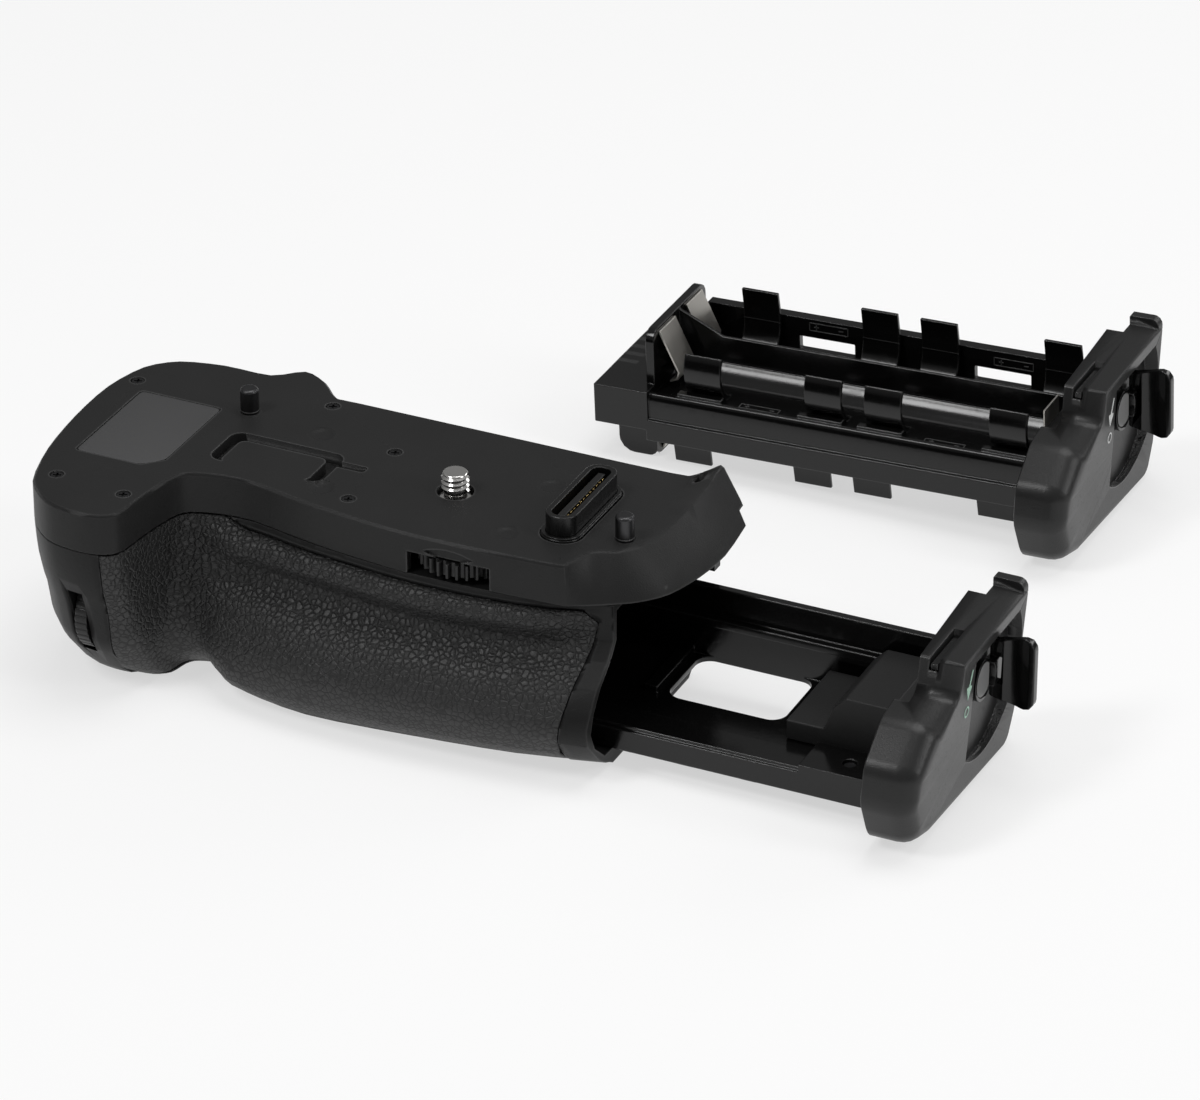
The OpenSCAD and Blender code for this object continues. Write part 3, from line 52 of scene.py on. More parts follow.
print("frame loaded:", len(nodes), "nodes")


# camera and studio
cameraSet = {"turn": 25.1, "tilt": 29.3, "distance": 1.44444, "right": 0.03211, "up": -0.01311, "lens": 195}
floorSet = {"size": 6, "z": -50.05 * mm, "colour": (0.93, 0.93, 0.93, 1), "glow": 0.6}
worldSet = {"horizon": 0.1, "zenith": 0.36}
lampSet = {  # place, size, watts
    "topSoftbox": ((0.1, 0.2, 1.25), (0.75, 0.65), 6.2),
    "frontSoftbox": ((-0.5, -0.7, 1.1), (0.32, 0.42), 5.8),
    "sideSoftbox": ((1.05, 0.05, 0.6), (0.3, 0.7), 3.2),
    "backStrip": ((0.6, 1.0, 0.5), (0.8, 0.25), 2.2),
}


def makeCamera(s):
    t, p = math.radians(s["turn"]), math.radians(s["tilt"])
    back = Vector((math.sin(t) * math.cos(p), -math.cos(t) * math.cos(p), math.sin(p)))
    right = Vector((math.cos(t), math.sin(t), 0))
    up = back.cross(right)
    data = bpy.data.cameras.new("photoCamera")
    data.lens = s["lens"]
    data.sensor_width = 36
    data.clip_start, data.clip_end = 0.05, 50
    camera = bpy.data.objects.new("photoCamera", data)
    bpy.context.scene.collection.objects.link(camera)
    turn = Matrix((right, up, back)).transposed().to_4x4()
    turn.translation = back * s["distance"] + right * s["right"] + up * s["up"]
    camera.matrix_world = turn
    bpy.context.scene.camera = camera


def pickNone():
    if bpy.context.mode != "OBJECT":
        bpy.ops.object.mode_set(mode="OBJECT")
    bpy.ops.object.select_all(action="DESELECT")


def takeUp(piece):
    pickNone()
    piece.select_set(True)
    bpy.context.view_layer.objects.active = piece


class Wire:
    def __init__(self, look, socket):
        self.look = look
        self.socket = socket

    def sum(self, operation, first, second):
        return self.look.add("ShaderNodeMath", {"operation": operation}, {0: first, 1: second})

    def __add__(self, other):
        return self.sum("ADD", self, other)

    def __sub__(self, other):
        return self.sum("SUBTRACT", self, other)

    def __rsub__(self, other):
        return self.sum("SUBTRACT", other, self)

    def __mul__(self, other):
        return self.sum("MULTIPLY", self, other)

    def __pow__(self, other):
        return self.sum("POWER", self, other)

    __radd__ = __add__
    __rmul__ = __mul__


class Look:
    def __init__(self, name, **fixed):
        self.material = bpy.data.materials.new(name)
        self.material.use_nodes = True
        self.tree = self.material.node_tree
        self.shader = self.tree.nodes["Principled BSDF"]
        for socket, value in fixed.items():
            self.shader.inputs[socket.replace("_", " ")].default_value = value

    def add(self, kind, settings, inputs, output=0):
        node = self.tree.nodes.new(kind)
        for key, value in settings.items():
            if key == "stops":
                for i, (at, colour) in enumerate(value):
                    stop = node.color_ramp.elements[i] if i < 2 else node.color_ramp.elements.new(at)
                    stop.position = at
                    stop.color = colour
            else:
                setattr(node, key, value)
        for key, value in inputs.items():
            if isinstance(value, Wire):
                self.tree.links.new(value.socket, node.inputs[key])
            else:
                node.inputs[key].default_value = value
        return Wire(self, node.outputs[output])

    def feed(self, socket, wire):
        self.tree.links.new(wire.socket, self.shader.inputs[socket])

    def place(self, stretch=(1, 1, 1)):
        where = self.add("ShaderNodeTexCoord", {}, {}, "Object")
        if stretch == (1, 1, 1):
            return where
        return self.add("ShaderNodeMapping", {}, {"Vector": where, "Scale": stretch})

    def noise(self, where, scale, detail=3.0, rough=0.5):
        return self.add("ShaderNodeTexNoise", {},
                        {"Vector": where, "Scale": scale, "Detail": detail, "Roughness": rough})

    def cells(self, where, scale, feature, jitter=1.0):
        return self.add("ShaderNodeTexVoronoi", {"feature": feature},
                        {"Vector": where, "Scale": scale, "Randomness": jitter})

    def ramp(self, wire, low, high, a=0.0, b=1.0):
        return self.add("ShaderNodeMapRange", {"interpolation_type": "SMOOTHSTEP"},
                        {"Value": wire, "From Min": low, "From Max": high, "To Min": a, "To Max": b})

    def mix(self, factor, a, b):
        return self.add("ShaderNodeMix", {"data_type": "RGBA"}, {0: factor, 6: a, 7: b}, 2)

    def bump(self, height, depth, strength=1.0, rounded=None):
        inputs = {"Height": height, "Distance": depth, "Strength": strength}
        if rounded:
            inputs["Normal"] = rounded
        self.feed("Normal", self.add("ShaderNodeBump", {}, inputs))

    def rounded(self, radius):
        return self.add("ShaderNodeBevel", {"samples": 4}, {"Radius": radius})

    def outerEdgeMask(self, reach):  # 1 along outer edges, where little of the solid lies behind the surface
        solid = self.add("ShaderNodeAmbientOcclusion", {"samples": 6, "inside": True, "only_local": True},
                         {"Distance": reach}, "AO")
        return self.ramp(1 - solid, 0.08, 0.5)


def grey(level):
    return (level, level, level, 1)


# moulded plastics: base tone, painted edge highlight tone, roughness, gloss, grains per metre, grain depth,
# edge round
plasticSet = {
    "coverSatin": {"tone": 0.0165, "paintedEdgeHighlight": 0.09, "rough": 0.46, "level": 0.2,
                   "grain": 3200, "depth": 0.05 * mm, "edge": 0.35 * mm},
    "housingSatin": {"tone": 0.0115, "paintedEdgeHighlight": 0.06, "rough": 0.44, "level": 0.17,
                     "grain": 2600, "depth": 0.05 * mm, "edge": 0.35 * mm},
    "capSatin": {"tone": 0.015, "paintedEdgeHighlight": 0.07, "rough": 0.36, "level": 0.34,
                 "grain": 2600, "depth": 0.035 * mm, "edge": 0.3 * mm},
    "controlSatin": {"tone": 0.009, "paintedEdgeHighlight": 0.06, "rough": 0.36, "level": 0.35,
                     "grain": 2600, "depth": 0.03 * mm, "edge": 0.15 * mm},
    "sliderSatin": {"tone": 0.0175, "paintedEdgeHighlight": 0.07, "rough": 0.42, "level": 0.2,
                    "grain": 2600, "depth": 0.03 * mm, "edge": 0.25 * mm},
    "trayGloss": {"tone": 0.0025, "paintedEdgeHighlight": 0.05, "rough": 0.17, "level": 0.42,
                  "grain": 900, "depth": 0.012 * mm, "edge": 0.25 * mm},
    "plugBlack": {"tone": 0.003, "paintedEdgeHighlight": 0.03, "rough": 0.3, "level": 0.42,
                  "grain": 1800, "depth": 0.02 * mm, "edge": 0.25 * mm},
    "keyGloss": {"tone": 0.003, "paintedEdgeHighlight": 0.04, "rough": 0.14, "level": 0.42,
                 "grain": 900, "depth": 0.01 * mm, "edge": 0.2 * mm},
    "discGrey": {"tone": 0.2, "paintedEdgeHighlight": 0.26, "rough": 0.4, "level": 0.4,
                 "grain": 2400, "depth": 0.01 * mm, "edge": 0.1 * mm},
}


def plasticLook(name, s):
    look = Look(name, Specular_IOR_Level=s["level"])
    where = look.place()
    grain = look.noise(where, s["grain"], 2.0)
    cloud = look.noise(where, 60, 3.0)
    specks = look.ramp(look.noise(where, s["grain"] * 0.45, 1.0), 0.62, 0.72)
    rounded = look.rounded(s["edge"])
    edges = look.outerEdgeMask(s["edge"] * 1.5)
    # painted highlight: the outer edges are lightened in base colour to stand in for the light they catch;
    # the same edges are also made less rough
    paintedEdgeHighlight = edges * (0.3 + cloud * 0.8)
    base = look.mix(cloud, grey(s["tone"] * 0.86), grey(s["tone"] * 1.14))
    look.feed("Base Color", look.mix(paintedEdgeHighlight, base, grey(s["paintedEdgeHighlight"])))
    look.feed("Roughness", (s["rough"] - 0.05 + cloud * 0.1 + specks * 0.05) * (1 - edges * 0.5))
    look.bump(grain + specks * 0.4, s["depth"], 0.8, rounded)
    return look.material


# leather-grained rubber: domed cells of about one and a half millimetres, flatter towards the foot; the
# grooves between cells carry painted shade
rubberSet = {"groove": 0.003, "crest": 0.0125, "rough": 0.4, "level": 0.58, "cells": 720, "warp": 0.5 * mm,
             "depth": 0.34 * mm, "fade": (-44 * mm, -24 * mm)}


def rubberLook(name, s):
    look = Look(name, Specular_IOR_Level=s["level"])
    where = look.place()
    drift = look.add("ShaderNodeTexNoise", {}, {"Vector": where, "Scale": 700, "Detail": 2.0}, 1)
    shifted = look.add("ShaderNodeVectorMath", {"operation": "SCALE"}, {0: drift, "Scale": s["warp"]})
    warped = look.add("ShaderNodeVectorMath", {"operation": "ADD"}, {0: where, 1: shifted})
    groove = look.ramp(look.cells(warped, s["cells"], "DISTANCE_TO_EDGE"), 0.0, 0.2)
    dome = 1 - look.cells(warped, s["cells"], "F1") ** 2.0
    creases = look.noise(where, 1500, 3.0, 0.6)
    cloud = look.noise(where, 140, 2.0)
    high = look.add("ShaderNodeSeparateXYZ", {}, {0: where}, 2)
    fade = look.ramp(high, *s["fade"], 0.3, 1.0)
    relief = (groove * 0.55 + dome * 0.45) * fade + creases * 0.35
    # painted shade: the grain's grooves are darker in base colour than the crests
    look.feed("Base Color", look.mix(groove, grey(s["groove"]), grey(s["crest"])))
    look.feed("Roughness", s["rough"] + 0.14 - groove * 0.12 + cloud * 0.1 + creases * 0.06)
    look.bump(relief, s["depth"], 1.0)
    return look.material


metalSet = {
    "nickelPlate": {"tone": (0.78, 0.77, 0.75, 1), "rough": 0.17, "brush": (600, 600, 5200)},
    "springNickel": {"tone": (0.6, 0.58, 0.54, 1), "rough": 0.36, "brush": (3200, 500, 500)},
    "goldContact": {"tone": (0.72, 0.53, 0.22, 1), "rough": 0.26, "brush": (2400, 2400, 500)},
    "darkSteel": {"tone": (0.06, 0.06, 0.062, 1), "rough": 0.36, "brush": (2400, 2400, 2400)},
    "pinSteel": {"tone": (0.07, 0.07, 0.072, 1), "rough": 0.38, "brush": (2400, 2400, 400),
                 "ring": (0.55 * mm, 0.16 * mm)},
}


def metalLook(name, s):
    look = Look(name, Metallic=1.0)
    lines = look.noise(look.place(s["brush"]), 1.0, 2.0)
    cloud = look.noise(look.place(), 180, 2.0)
    dull = tuple(c * 0.82 for c in s["tone"][:3]) + (1,)
    base = look.mix(cloud, dull, s["tone"])
    if "ring" in s:  # lighter band round the pin at one height: height and half width
        high = look.add("ShaderNodeSeparateXYZ", {}, {0: look.place()}, 2)
        away = look.add("ShaderNodeMath", {"operation": "ABSOLUTE"}, {0: high - s["ring"][0]})
        base = look.mix(look.ramp(away, s["ring"][1] * 0.6, s["ring"][1], 1.0, 0.0), base, grey(0.5))
    look.feed("Base Color", base)
    look.feed("Roughness", s["rough"] - 0.06 + lines * 0.1 + cloud * 0.06)
    look.bump(lines, 0.008 * mm, 0.6)
    return look.material


def printLook(name, colour):
    look = Look(name, Specular_IOR_Level=0.3)
    grain = look.noise(look.place(), 3800, 2.0)
    dim = tuple(c * 0.86 for c in colour[:3]) + (1,)
    look.feed("Base Color", look.mix(grain, dim, colour))
    look.feed("Roughness", 0.5 + grain * 0.12)
    look.bump(grain, 0.01 * mm, 0.5)
    return look.material


def boardLook(name):
    look = Look(name, Specular_IOR_Level=0.5)
    where = look.place()
    tracks = look.ramp(look.cells(where, 420, "DISTANCE_TO_EDGE", 0.0), 0.04, 0.08)
    look.feed("Base Color", look.mix(tracks, (0.05, 0.16, 0.07, 1), (0.012, 0.07, 0.03, 1)))
    look.feed("Roughness", 0.3 + look.noise(where, 900) * 0.15)
    look.bump(tracks, 0.03 * mm, 0.8)
    return look.material


looks = {name: plasticLook(name, s) for name, s in plasticSet.items()}
looks.update({name: metalLook(name, s) for name, s in metalSet.items()})
looks["grainedRubber"] = rubberLook("grainedRubber", rubberSet)
looks["labelGrey"] = printLook("labelGrey", (0.06, 0.06, 0.061, 1))
looks["markGreen"] = printLook("markGreen", (0.36, 0.55, 0.44, 1))
looks["markWhite"] = printLook("markWhite", (0.6, 0.61, 0.6, 1))
looks["boardGreen"] = boardLook("boardGreen")
print("finishes made:", len(looks))


def makeStudio():
    pickNone()
    bpy.ops.mesh.primitive_plane_add(size=floorSet["size"], location=(0, 0, floorSet["z"]))
    floor = bpy.context.object
    floor.name = "studioFloor"
    floor.data.transform(floor.matrix_world)
    floor.matrix_world = Matrix.Identity(4)
    look = Look("paleFloor", Specular_IOR_Level=0.0, Roughness=0.9)
    look.shader.inputs["Base Color"].default_value = floorSet["colour"]
    path = {kind: look.add("ShaderNodeLightPath", {}, {}, kind)
            for kind in ("Is Camera Ray", "Is Glossy Ray", "Is Transmission Ray")}
    seen = look.add("ShaderNodeMath", {"operation": "MAXIMUM"},
                    {0: path["Is Camera Ray"], 1: path["Is Glossy Ray"]})
    seen = look.add("ShaderNodeMath", {"operation": "MAXIMUM"}, {0: seen, 1: path["Is Transmission Ray"]})
    glow = look.add("ShaderNodeEmission", {}, {"Color": grey(1.0), "Strength": 1.0})
    both = look.add("ShaderNodeMixShader", {}, {0: seen * floorSet["glow"],
                    1: Wire(look, look.shader.outputs[0]), 2: glow})
    look.tree.links.new(both.socket, look.tree.nodes["Material Output"].inputs["Surface"])
    floor.data.materials.append(look.material)
    world = bpy.data.worlds.new("softRoom")
    world.use_nodes = True
    bpy.context.scene.world = world
    tree = world.node_tree
    where = tree.nodes.new("ShaderNodeTexCoord")
    split = tree.nodes.new("ShaderNodeSeparateXYZ")
    level = tree.nodes.new("ShaderNodeMapRange")
    tree.links.new(where.outputs["Generated"], split.inputs[0])
    tree.links.new(split.outputs[2], level.inputs["Value"])
    level.inputs["To Min"].default_value = worldSet["horizon"]
    level.inputs["To Max"].default_value = worldSet["zenith"]
    tree.links.new(level.outputs[0], tree.nodes["Background"].inputs["Strength"])
    tree.nodes["Background"].inputs["Color"].default_value = grey(1.0)
    for name, (place, size, watts) in lampSet.items():
        data = bpy.data.lights.new(name, "AREA")
        data.shape = "RECTANGLE"
        data.size, data.size_y = size
        data.energy = watts
        lamp = bpy.data.objects.new(name, data)
        lamp.location = place
        lamp.rotation_euler = (-Vector(place)).to_track_quat("-Z", "Y").to_euler()
        bpy.context.scene.collection.objects.link(lamp)
    bpy.context.scene.view_settings.view_transform = "Standard"


makeCamera(cameraSet)
makeStudio()
print("camera and studio set")


def settle(piece, body, look, replaced=()):
    piece.data.materials.clear()
    piece.data.materials.append(looks[look])
    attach(piece, body)
    if replaced:
        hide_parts(*replaced)
    return piece


def smoothBy(piece, angle):
    takeUp(piece)
    bpy.ops.object.shade_smooth_by_angle(angle=math.radians(angle))


def apply(piece, kind, **settings):
    takeUp(piece)
    modifier = piece.modifiers.new(kind.lower(), kind)
    for key, value in settings.items():
        setattr(modifier, key, value)
    bpy.ops.object.modifier_apply(modifier=modifier.name)


def selectFaces(piece, chosen):
    takeUp(piece)
    bpy.ops.object.mode_set(mode="EDIT")
    bpy.ops.mesh.select_mode(type="FACE")
    bpy.ops.mesh.select_all(action="DESELECT")
    bpy.ops.object.mode_set(mode="OBJECT")
    for face in piece.data.polygons:
        face.select = chosen(face.center / mm, face.normal)
    bpy.ops.object.mode_set(mode="EDIT")


def cutSeam(piece, level, width):
    # small chamfer on the outer edges that lie at one height, so that two mouldings meet in a groove
    takeUp(piece)
    bpy.ops.object.mode_set(mode="EDIT")
    bpy.ops.mesh.select_mode(type="EDGE")
    bpy.ops.mesh.select_all(action="DESELECT")
    bpy.ops.mesh.edges_select_sharp(sharpness=math.radians(60))
    bpy.ops.object.mode_set(mode="OBJECT")
    points = piece.data.vertices
    for edge in piece.data.edges:
        edge.select = edge.select and all(abs(points[i].co.z / mm - level) < 0.02 for i in edge.vertices)
    bpy.ops.object.mode_set(mode="EDIT")
    bpy.ops.mesh.bevel(offset=width * mm, segments=1, affect="EDGES", clamp_overlap=False)
    bpy.ops.object.mode_set(mode="OBJECT")


# swell of the upper front under the seam, and the finger hollow below its foot
rollSet = {"proud": 3.8, "hollow": 0.85, "top": -11.3, "foot": -21, "low": -27.5, "start": (-58, -45),
           "end": (28, 47), "cuts": 3, "patch": ((-62, 47), (-29, -10)), "front": -9}


def rollOut(piece, s=rollSet):
    (left, right), (low, high) = s["patch"]
    selectFaces(piece, lambda at, n: left < at.x < right and at.y < s["front"] and low < at.z < high
                and abs(n.z) < 0.95)
    bpy.ops.mesh.subdivide(number_cuts=s["cuts"])
    bpy.ops.object.mode_set(mode="OBJECT")
    for vertex in piece.data.vertices:
        x, y, z = vertex.co / mm
        if y < s["front"] and vertex.normal.y < -0.08 and s["low"] < z < s["top"]:
            if z > s["foot"]:
                down = (s["top"] - z) / (s["top"] - s["foot"])
                out = s["proud"] * math.sin(math.pi * down ** 0.75) ** 1.3
            else:
                down = (s["foot"] - z) / (s["foot"] - s["low"])
                out = -s["hollow"] * math.sin(math.pi * down) ** 1.3
            ends = [min(1, max(0, (x - s["start"][0]) / (s["start"][1] - s["start"][0]))),
                    min(1, max(0, (s["end"][1] - x) / (s["end"][1] - s["end"][0])))]
            vertex.co.y -= out * math.prod(t * t * (3 - 2 * t) for t in ends) * mm


# soft bowls in place of the cover's plain dimples: ring radii and depths
bowlSet = {"radius": 3.3, "floor": -0.25, "rings": ((0.9, -0.2), (1.1, -0.12))}


def sinkBowls(piece, s=bowlSet):
    selectFaces(piece, lambda at, n: abs(at.z - s["floor"]) < 0.02 and n.z > 0.95)
    bpy.ops.mesh.dissolve_faces()
    for inset, drop in s["rings"]:
        bpy.ops.mesh.inset(thickness=inset * mm, use_individual=True)
        bpy.ops.transform.translate(value=(0, 0, drop * mm))
    bpy.ops.object.mode_set(mode="OBJECT")
    for vertex in piece.data.vertices:
        if abs(vertex.co.z / mm - s["floor"]) < 0.02:
            vertex.co.z = 0


seamSet = {"level": -10, "width": 0.28}


def shapeCover(piece):
    sinkBowls(piece)
    cutSeam(piece, **seamSet)


def shapeHousing(piece):
    rollOut(piece)
    cutSeam(piece, **seamSet)


# core of the thread: the ridge is a piece of its own
coreSet = {"radius": 2.66, "outside": 2.9}


def slimScrew(piece, s=coreSet):
    for vertex in piece.data.vertices:
        across = math.hypot(vertex.co.x, vertex.co.y) / mm
        if vertex.co.z > -0.01 * mm and across > s["outside"]:
            vertex.co.x *= s["radius"] / across
            vertex.co.y *= s["radius"] / across


shaping = {"top_cover": shapeCover, "main_housing": shapeHousing, "front_grip_rubber": rollOut,
           "camera_screw": slimScrew}


def dress(node, look, edge=0.0, limit=40, smooth=42, name=None):
    # merged copy of a CAD node, with its hard edges rounded
    piece = bpy.data.objects.new(name or node + "Skin", nodes[node].data.copy())
    bpy.context.scene.collection.objects.link(piece)
    takeUp(piece)
    bpy.ops.object.mode_set(mode="EDIT")
    bpy.ops.mesh.select_all(action="SELECT")
    bpy.ops.mesh.remove_doubles(threshold=2e-6)
    bpy.ops.object.mode_set(mode="OBJECT")
    if node in shaping:
        shaping[node](piece)
        takeUp(piece)
    bpy.ops.object.mode_set(mode="EDIT")
    bpy.ops.mesh.select_all(action="SELECT")
    bpy.ops.mesh.remove_doubles(threshold=2e-6)
    bpy.ops.mesh.dissolve_limited(angle_limit=math.radians(0.4))
    bpy.ops.object.mode_set(mode="OBJECT")
    if edge:
        apply(piece, "BEVEL", width=edge * mm, segments=2, limit_method="ANGLE",
              angle_limit=math.radians(limit), use_clamp_overlap=False, miter_outer="MITER_ARC")
    low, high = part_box(node)
    for vertex in piece.data.vertices:  # no corner of a bevel past the node's own box
        vertex.co = [min(max(v, a), b) for v, a, b in zip(vertex.co, low, high)]
    smoothBy(piece, smooth)
    apply(piece, "WEIGHTED_NORMAL", keep_sharp=True, weight=60)
    return settle(piece, bodyOf[node], look, [node])


# finish and edge round of each CAD node that is shown as a merged copy
dressSet = {
    "top_cover": ("coverSatin", 0.0),
    "main_housing": ("housingSatin", 0.0),
    "front_grip_rubber": ("grainedRubber", 0.0),
    "rear_grip_rubber": ("grainedRubber", 0.0),
    "base_pad": ("grainedRubber", 0.3),
    "tripod_socket": ("nickelPlate", 0.2),
    "locating_pins": ("pinSteel", 0.3),
    "connector_shroud": ("plugBlack", 0.25),
    "connector_seal": ("plugBlack", 0.15),
    "connector_insert": ("controlSatin", 0.15),
    "connector_contacts": ("goldContact", 0.08),
    "attachment_wheel": ("controlSatin", 0.1),
    "camera_screw": ("nickelPlate", 0.08),
    "front_dial": ("controlSatin", 0.1),
    "rear_dial": ("controlSatin", 0.1),
    "shutter_button": ("controlSatin", 0.25),
    "shutter_lock_ring": ("capSatin", 0.3),
    "rear_button": ("controlSatin", 0.25),
    "selector_ring": ("controlSatin", 0.15),
    "selector_cap": ("controlSatin", 0.3),
    "tray_frame": ("trayGloss", 0.25),
    "tray_cap": ("capSatin", 0.0),
    "release_slider": ("sliderSatin", 0.4),
    "tray_screw": ("darkSteel", 0.12),
    "tray_contacts": ("goldContact", 0.1),
    "tray_latch_hub": ("keyGloss", 0.15),
    "tray_latch_disc": ("discGrey", 0.08),
    "tray_latch_key": ("keyGloss", 0.25),
    "tray_latch_bolt": ("trayGloss", 0.25),
    "cell_frame": ("trayGloss", 0.22),
    "cell_cap": ("capSatin", 0.0),
    "cell_springs": ("springNickel", 0.08),
    "cell_plates": ("springNickel", 0.08),
    "cell_contacts": ("goldContact", 0.1),
    "cell_latch_hub": ("keyGloss", 0.15),
    "cell_latch_disc": ("discGrey", 0.08),
    "cell_latch_key": ("keyGloss", 0.25),
    "cell_latch_bolt": ("trayGloss", 0.25),
}
for node, (look, edge) in dressSet.items():
    dress(node, look, edge)
print("nodes dressed:", len(dressSet))

# nodes that stay as they are, mostly inside
insideSet = {
    "circuit_board": "boardGreen", "chamber_contacts": "goldContact", "wheel_axle": "nickelPlate",
    "screw_bush": "goldContact", "front_dial_axle": "nickelPlate", "rear_dial_axle": "nickelPlate",
    "shutter_switch": "controlSatin", "rear_button_switch": "controlSatin", "screw_pinion": "goldContact",
    "screw_clip": "nickelPlate", "tray_key_pin": "nickelPlate", "cell_key_pin": "nickelPlate",
}
for node, look in insideSet.items():
    nodes[node].data.materials.clear()
    nodes[node].data.materials.append(looks[look])


# bare label plate in the cover's recess
labelSet = {"low": (-85.95, -18.55), "size": (20.5, 30.8), "z": -0.36, "thick": 0.26, "chamfer": 4.2,
            "corner": 1.2}


def makeLabel(s):
    pickNone()
    place = (s["low"][0] + s["size"][0] / 2, s["low"][1] + s["size"][1] / 2, s["z"] + s["thick"] / 2)
    bpy.ops.mesh.primitive_cube_add(size=1, location=[v * mm for v in place],
                                    scale=[v * mm for v in (*s["size"], s["thick"])])
    plate = bpy.context.object
    plate.name = "labelPlate"
    bpy.ops.object.transform_apply(location=True, rotation=True, scale=True)
    right = (s["low"][0] + s["size"][0]) * mm
    front = s["low"][1] * mm
    for nearCorner, width in ((True, s["chamfer"]), (False, s["corner"])):
        bpy.ops.object.mode_set(mode="EDIT")
        bpy.ops.mesh.select_mode(type="EDGE")
        bpy.ops.mesh.select_all(action="DESELECT")
        bpy.ops.object.mode_set(mode="OBJECT")
        for edge in plate.data.edges:
            a, b = (plate.data.vertices[i].co for i in edge.vertices)
            upright = abs(a.z - b.z) > 0.1 * mm
            chosen = abs(a.x - right) < 0.1 * mm and abs(a.y - front) < 0.1 * mm
            edge.select = upright and chosen == nearCorner
        bpy.ops.object.mode_set(mode="EDIT")
        bpy.ops.mesh.bevel(offset=width * mm, segments=1 if nearCorner else 3, affect="EDGES")
        bpy.ops.object.mode_set(mode="OBJECT")
    apply(plate, "BEVEL", width=0.08 * mm, segments=2, limit_method="ANGLE", angle_limit=math.radians(60))
    smoothBy(plate, 40)
    settle(plate, "grip", "labelGrey")


makeLabel(labelSet)

# cross-recessed heads of the cover screws
headSet = {"d": 3.15, "high": 0.75, "z": -0.9, "arm": 1.9, "slot": 0.5, "deep": 0.45}


def makeCross(name, s, place):
    pickNone()
    x, y, z = place
    bpy.ops.mesh.primitive_cylinder_add(vertices=40, radius=s["d"] / 2 * mm, depth=s["high"] * mm,
                                        location=[x * mm, y * mm, (z + s["high"] / 2) * mm])
    head = bpy.context.object
    head.name = name
    bpy.ops.object.transform_apply(location=True, rotation=True, scale=True)
    apply(head, "BEVEL", width=0.2 * mm, segments=3, limit_method="ANGLE", angle_limit=math.radians(50))
    for turn in (0, 90):
        pickNone()
        bpy.ops.mesh.primitive_cube_add(size=1, location=[v * mm for v in (x, y, z + s["high"])],
                                        scale=[v * mm for v in (s["arm"], s["slot"], 2 * s["deep"])],
                                        rotation=(0, 0, math.radians(turn + 20)))
        cutter = bpy.context.object
        apply(head, "BOOLEAN", operation="DIFFERENCE", object=cutter, solver="EXACT")
        bpy.data.objects.remove(cutter)
    smoothBy(head, 35)
    return head


def makeScrewHeads(s):
    points = nodes["cover_screws"].data.vertices
    centres = sorted({(round(v.co.x / mm * 2) / 2, round(v.co.y / mm * 2) / 2) for v in points})
    groups = []  # one centre from each head's own vertices
    for x, y in centres:
        for group in groups:
            if abs(group[0][0] - x) < 4 and abs(group[0][1] - y) < 4:
                group.append((x, y))
                break
        else:
            groups.append([(x, y)])
    places = [tuple((min(row) + max(row)) / 2 for row in zip(*group)) for group in groups]
    heads = [makeCross("coverScrewHeads", s, (*places[0], s["z"]))]
    for x, y in places[1:]:
        twin = bpy.data.objects.new("coverScrewHead", heads[0].data.copy())
        twin.data.transform(Matrix.Translation(((x - places[0][0]) * mm, (y - places[0][1]) * mm, 0)))
        bpy.context.scene.collection.objects.link(twin)
        heads.append(twin)
    takeUp(heads[0])
    for head in heads:
        head.select_set(True)
    bpy.ops.object.join()
    settle(heads[0], "grip", "darkSteel", ["cover_screws"])
    print("screw heads at", [(round(x, 1), round(y, 1)) for x, y in places])


makeScrewHeads(headSet)

# helical ridge of the camera screw
threadSet = {"core": 2.6, "crest": 3.17, "pitch": 1.27, "turns": 3, "low": 0.02}


def makeThread(s):
    pickNone()
    bpy.ops.mesh.primitive_circle_add(vertices=3, radius=0.3 * mm)
    ridge = bpy.context.object
    ridge.name = "cameraScrewThread"
    corners = ((s["core"], 0.0), (s["crest"], s["pitch"] * 0.4), (s["core"], s["pitch"] * 0.8))
    for vertex, (x, z) in zip(ridge.data.vertices, corners):
        vertex.co = (x * mm, 0, (s["low"] + z) * mm)
    apply(ridge, "SCREW", axis="Z", angle=math.radians(360), screw_offset=s["pitch"] * mm,
          iterations=s["turns"], steps=56, render_steps=56, use_smooth_shade=True)
    bpy.ops.object.mode_set(mode="EDIT")
    bpy.ops.mesh.select_all(action="SELECT")
    bpy.ops.mesh.remove_doubles(threshold=1e-6)
    bpy.ops.mesh.select_all(action="DESELECT")
    bpy.ops.mesh.select_non_manifold()
    bpy.ops.mesh.edge_face_add()
    bpy.ops.mesh.select_all(action="SELECT")
    bpy.ops.mesh.normals_make_consistent(inside=False)
    bpy.ops.object.mode_set(mode="OBJECT")
    smoothBy(ridge, 50)
    settle(ridge, "camera_screw", "nickelPlate")


makeThread(threadSet)

# printed turn arrows and ring marks on the end caps: look, and the middle of each mark across and up
markSet = {
    "tray_cap": {"look": "markGreen", "arrow": (-1.1, -18.6), "ring": (-1.3, -25.2)},
    "cell_cap": {"look": "markWhite", "arrow": (128.3, -18.2), "ring": (128.4, -24.8)},
}
arrowShape = ((0.9, 3.6), (1.5, 3.3), (0.45, -0.2), (1.6, -0.7), (-0.3, -3.6), (-1.5, 0), (-0.25, -0.2))
printLift = 0.02
ringShape = {"across": 1.15, "line": 0.22}


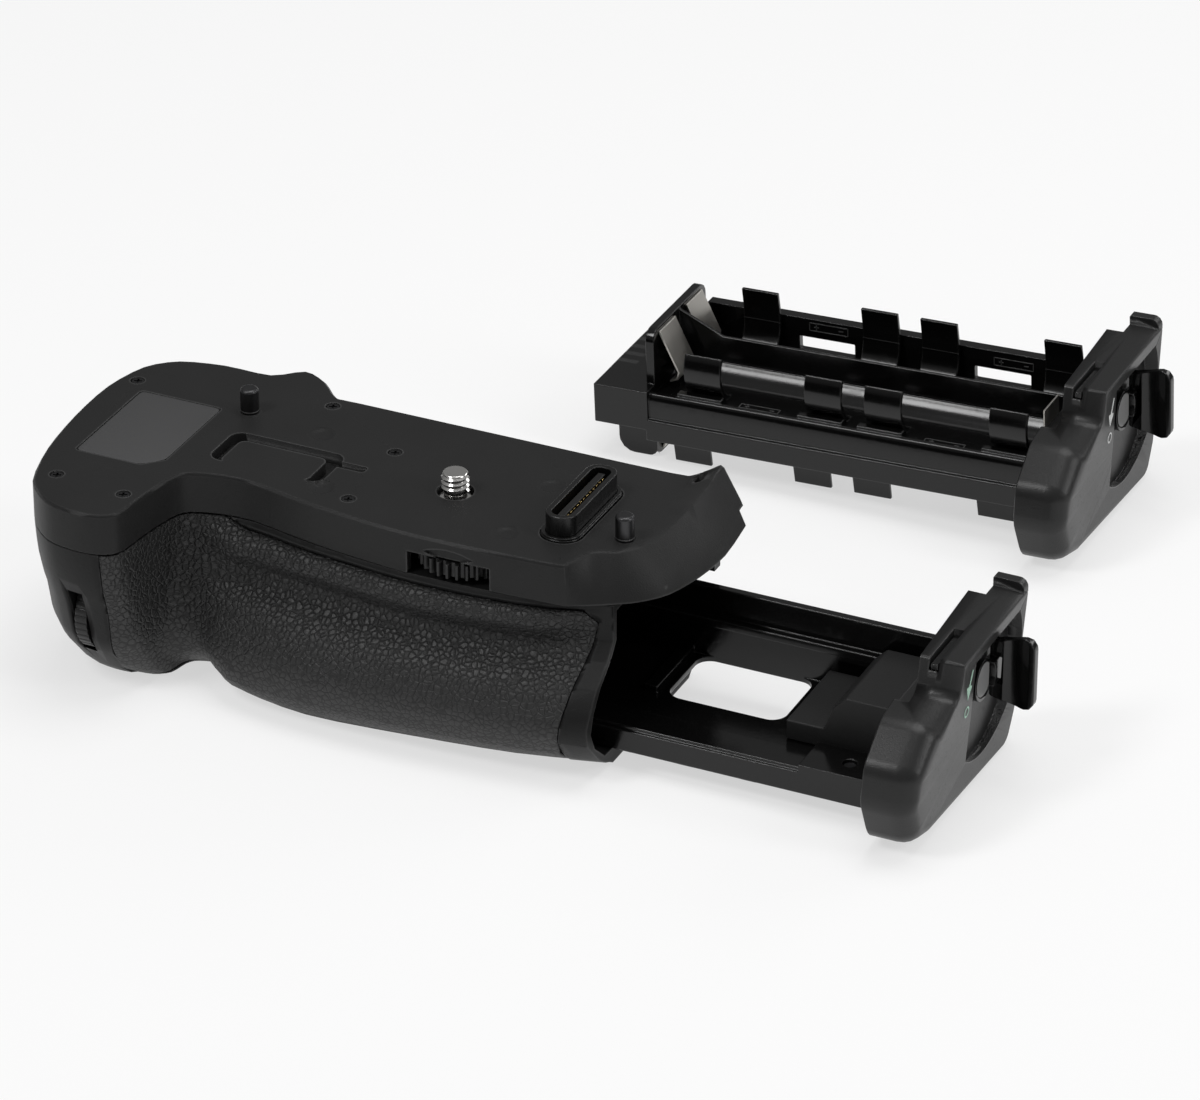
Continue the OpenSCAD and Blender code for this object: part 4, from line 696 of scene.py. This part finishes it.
def makeMarks(cap, s):
    skin = bpy.data.objects[cap + "Skin"]
    pickNone()
    bpy.ops.mesh.primitive_circle_add(vertices=len(arrowShape), radius=mm, fill_type="NGON")
    arrow = bpy.context.object
    for vertex, (across, up) in zip(arrow.data.vertices, reversed(arrowShape)):
        vertex.co = (0, (s["arrow"][0] + across) * mm, (s["arrow"][1] + up) * mm)
    pickNone()
    bpy.ops.mesh.primitive_torus_add(major_radius=ringShape["across"] * mm, major_segments=40,
                                     minor_radius=ringShape["line"] * mm, minor_segments=8,
                                     rotation=(0, math.radians(90), 0),
                                     location=(0, s["ring"][0] * mm, s["ring"][1] * mm))
    ring = bpy.context.object
    bpy.ops.object.transform_apply(location=True, rotation=True, scale=True)
    for part in (arrow, ring):  # laid on the cap's own face, and nearly flat
        for vertex in part.data.vertices:
            start = Vector((0.3, vertex.co.y, vertex.co.z))
            place = skin.ray_cast(start, Vector((-1, 0, 0)))[1]
            vertex.co.x = place.x + printLift * mm + vertex.co.x * 0.2
    apply(arrow, "SOLIDIFY", thickness=0.04 * mm, offset=0)
    takeUp(arrow)
    ring.select_set(True)
    bpy.ops.object.join()
    bpy.ops.object.mode_set(mode="EDIT")
    bpy.ops.mesh.select_all(action="SELECT")
    bpy.ops.mesh.normals_make_consistent(inside=False)
    bpy.ops.object.mode_set(mode="OBJECT")
    arrow.name = cap.replace("_cap", "CapMarks")
    smoothBy(arrow, 40)
    settle(arrow, bodyOf[cap], s["look"])


for cap, s in markSet.items():
    makeMarks(cap, s)

# raised polarity signs on the cell rails: bars of one sign, and the middle of each sign on the two faces
signSet = {
    "bars": ((0, 1, 10, 0.25), (0, -1, 10, 0.25), (-5, 0, 0.25, 2.2), (5, 0, 0.25, 2.2),
             (-3.2, 0, 1.2, 0.3), (-3.2, 0, 0.3, 1.2), (3.2, 0, 1.2, 0.3)),
    "high": 0.14,
    "along": (1, 0, 0.04),
    "rear": ((26.3, 147, -23.9), (74.2, 147, -22.7)),
    "front": ((22, 118.1, -28), (69.7, 117.3, -26)),
}


def makeSigns(s):
    skin = bpy.data.objects["cell_frameSkin"]
    bars = []
    for across, up, wide, tall in s["bars"]:
        pickNone()
        bpy.ops.mesh.primitive_cube_add(size=1, location=[v * mm for v in (across, up, 0)],
                                        scale=[v * mm for v in (wide, tall, 2 * s["high"])])
        bars.append(bpy.context.object)
        bpy.ops.object.transform_apply(location=True, rotation=True, scale=True)
    takeUp(bars[0])
    for bar in bars:
        bar.select_set(True)
    bpy.ops.object.join()
    first = bars[0]
    first.name = "cellPolaritySigns"
    signs = []
    for face, towards in (("rear", (0, 1, 0)), ("front", (0, 0, -1))):
        for start in s[face]:
            place, normal = skin.ray_cast(Vector(start) * mm, Vector(towards))[1:3]
            twin = bpy.data.objects.new("cellPolaritySign", first.data.copy())
            bpy.context.scene.collection.objects.link(twin)
            rails = Vector(s["along"]).normalized()
            turn = Matrix((rails, normal.cross(rails), normal)).transposed().to_4x4()
            twin.data.transform(Matrix.Translation(place) @ turn)
            signs.append(twin)
    first.data = signs[0].data.copy()
    bpy.data.objects.remove(signs[0])
    takeUp(first)
    for twin in signs[1:]:
        twin.select_set(True)
    bpy.ops.object.join()
    smoothBy(first, 30)
    # the raised signs take a lighter satin finish than the rail; the lighter tone is painted highlight
    # standing in for the glints along the marks
    settle(first, bodyOf["cell_frame"], "sliderSatin")


makeSigns(signSet)
print("label, screw heads, thread, marks and signs made")
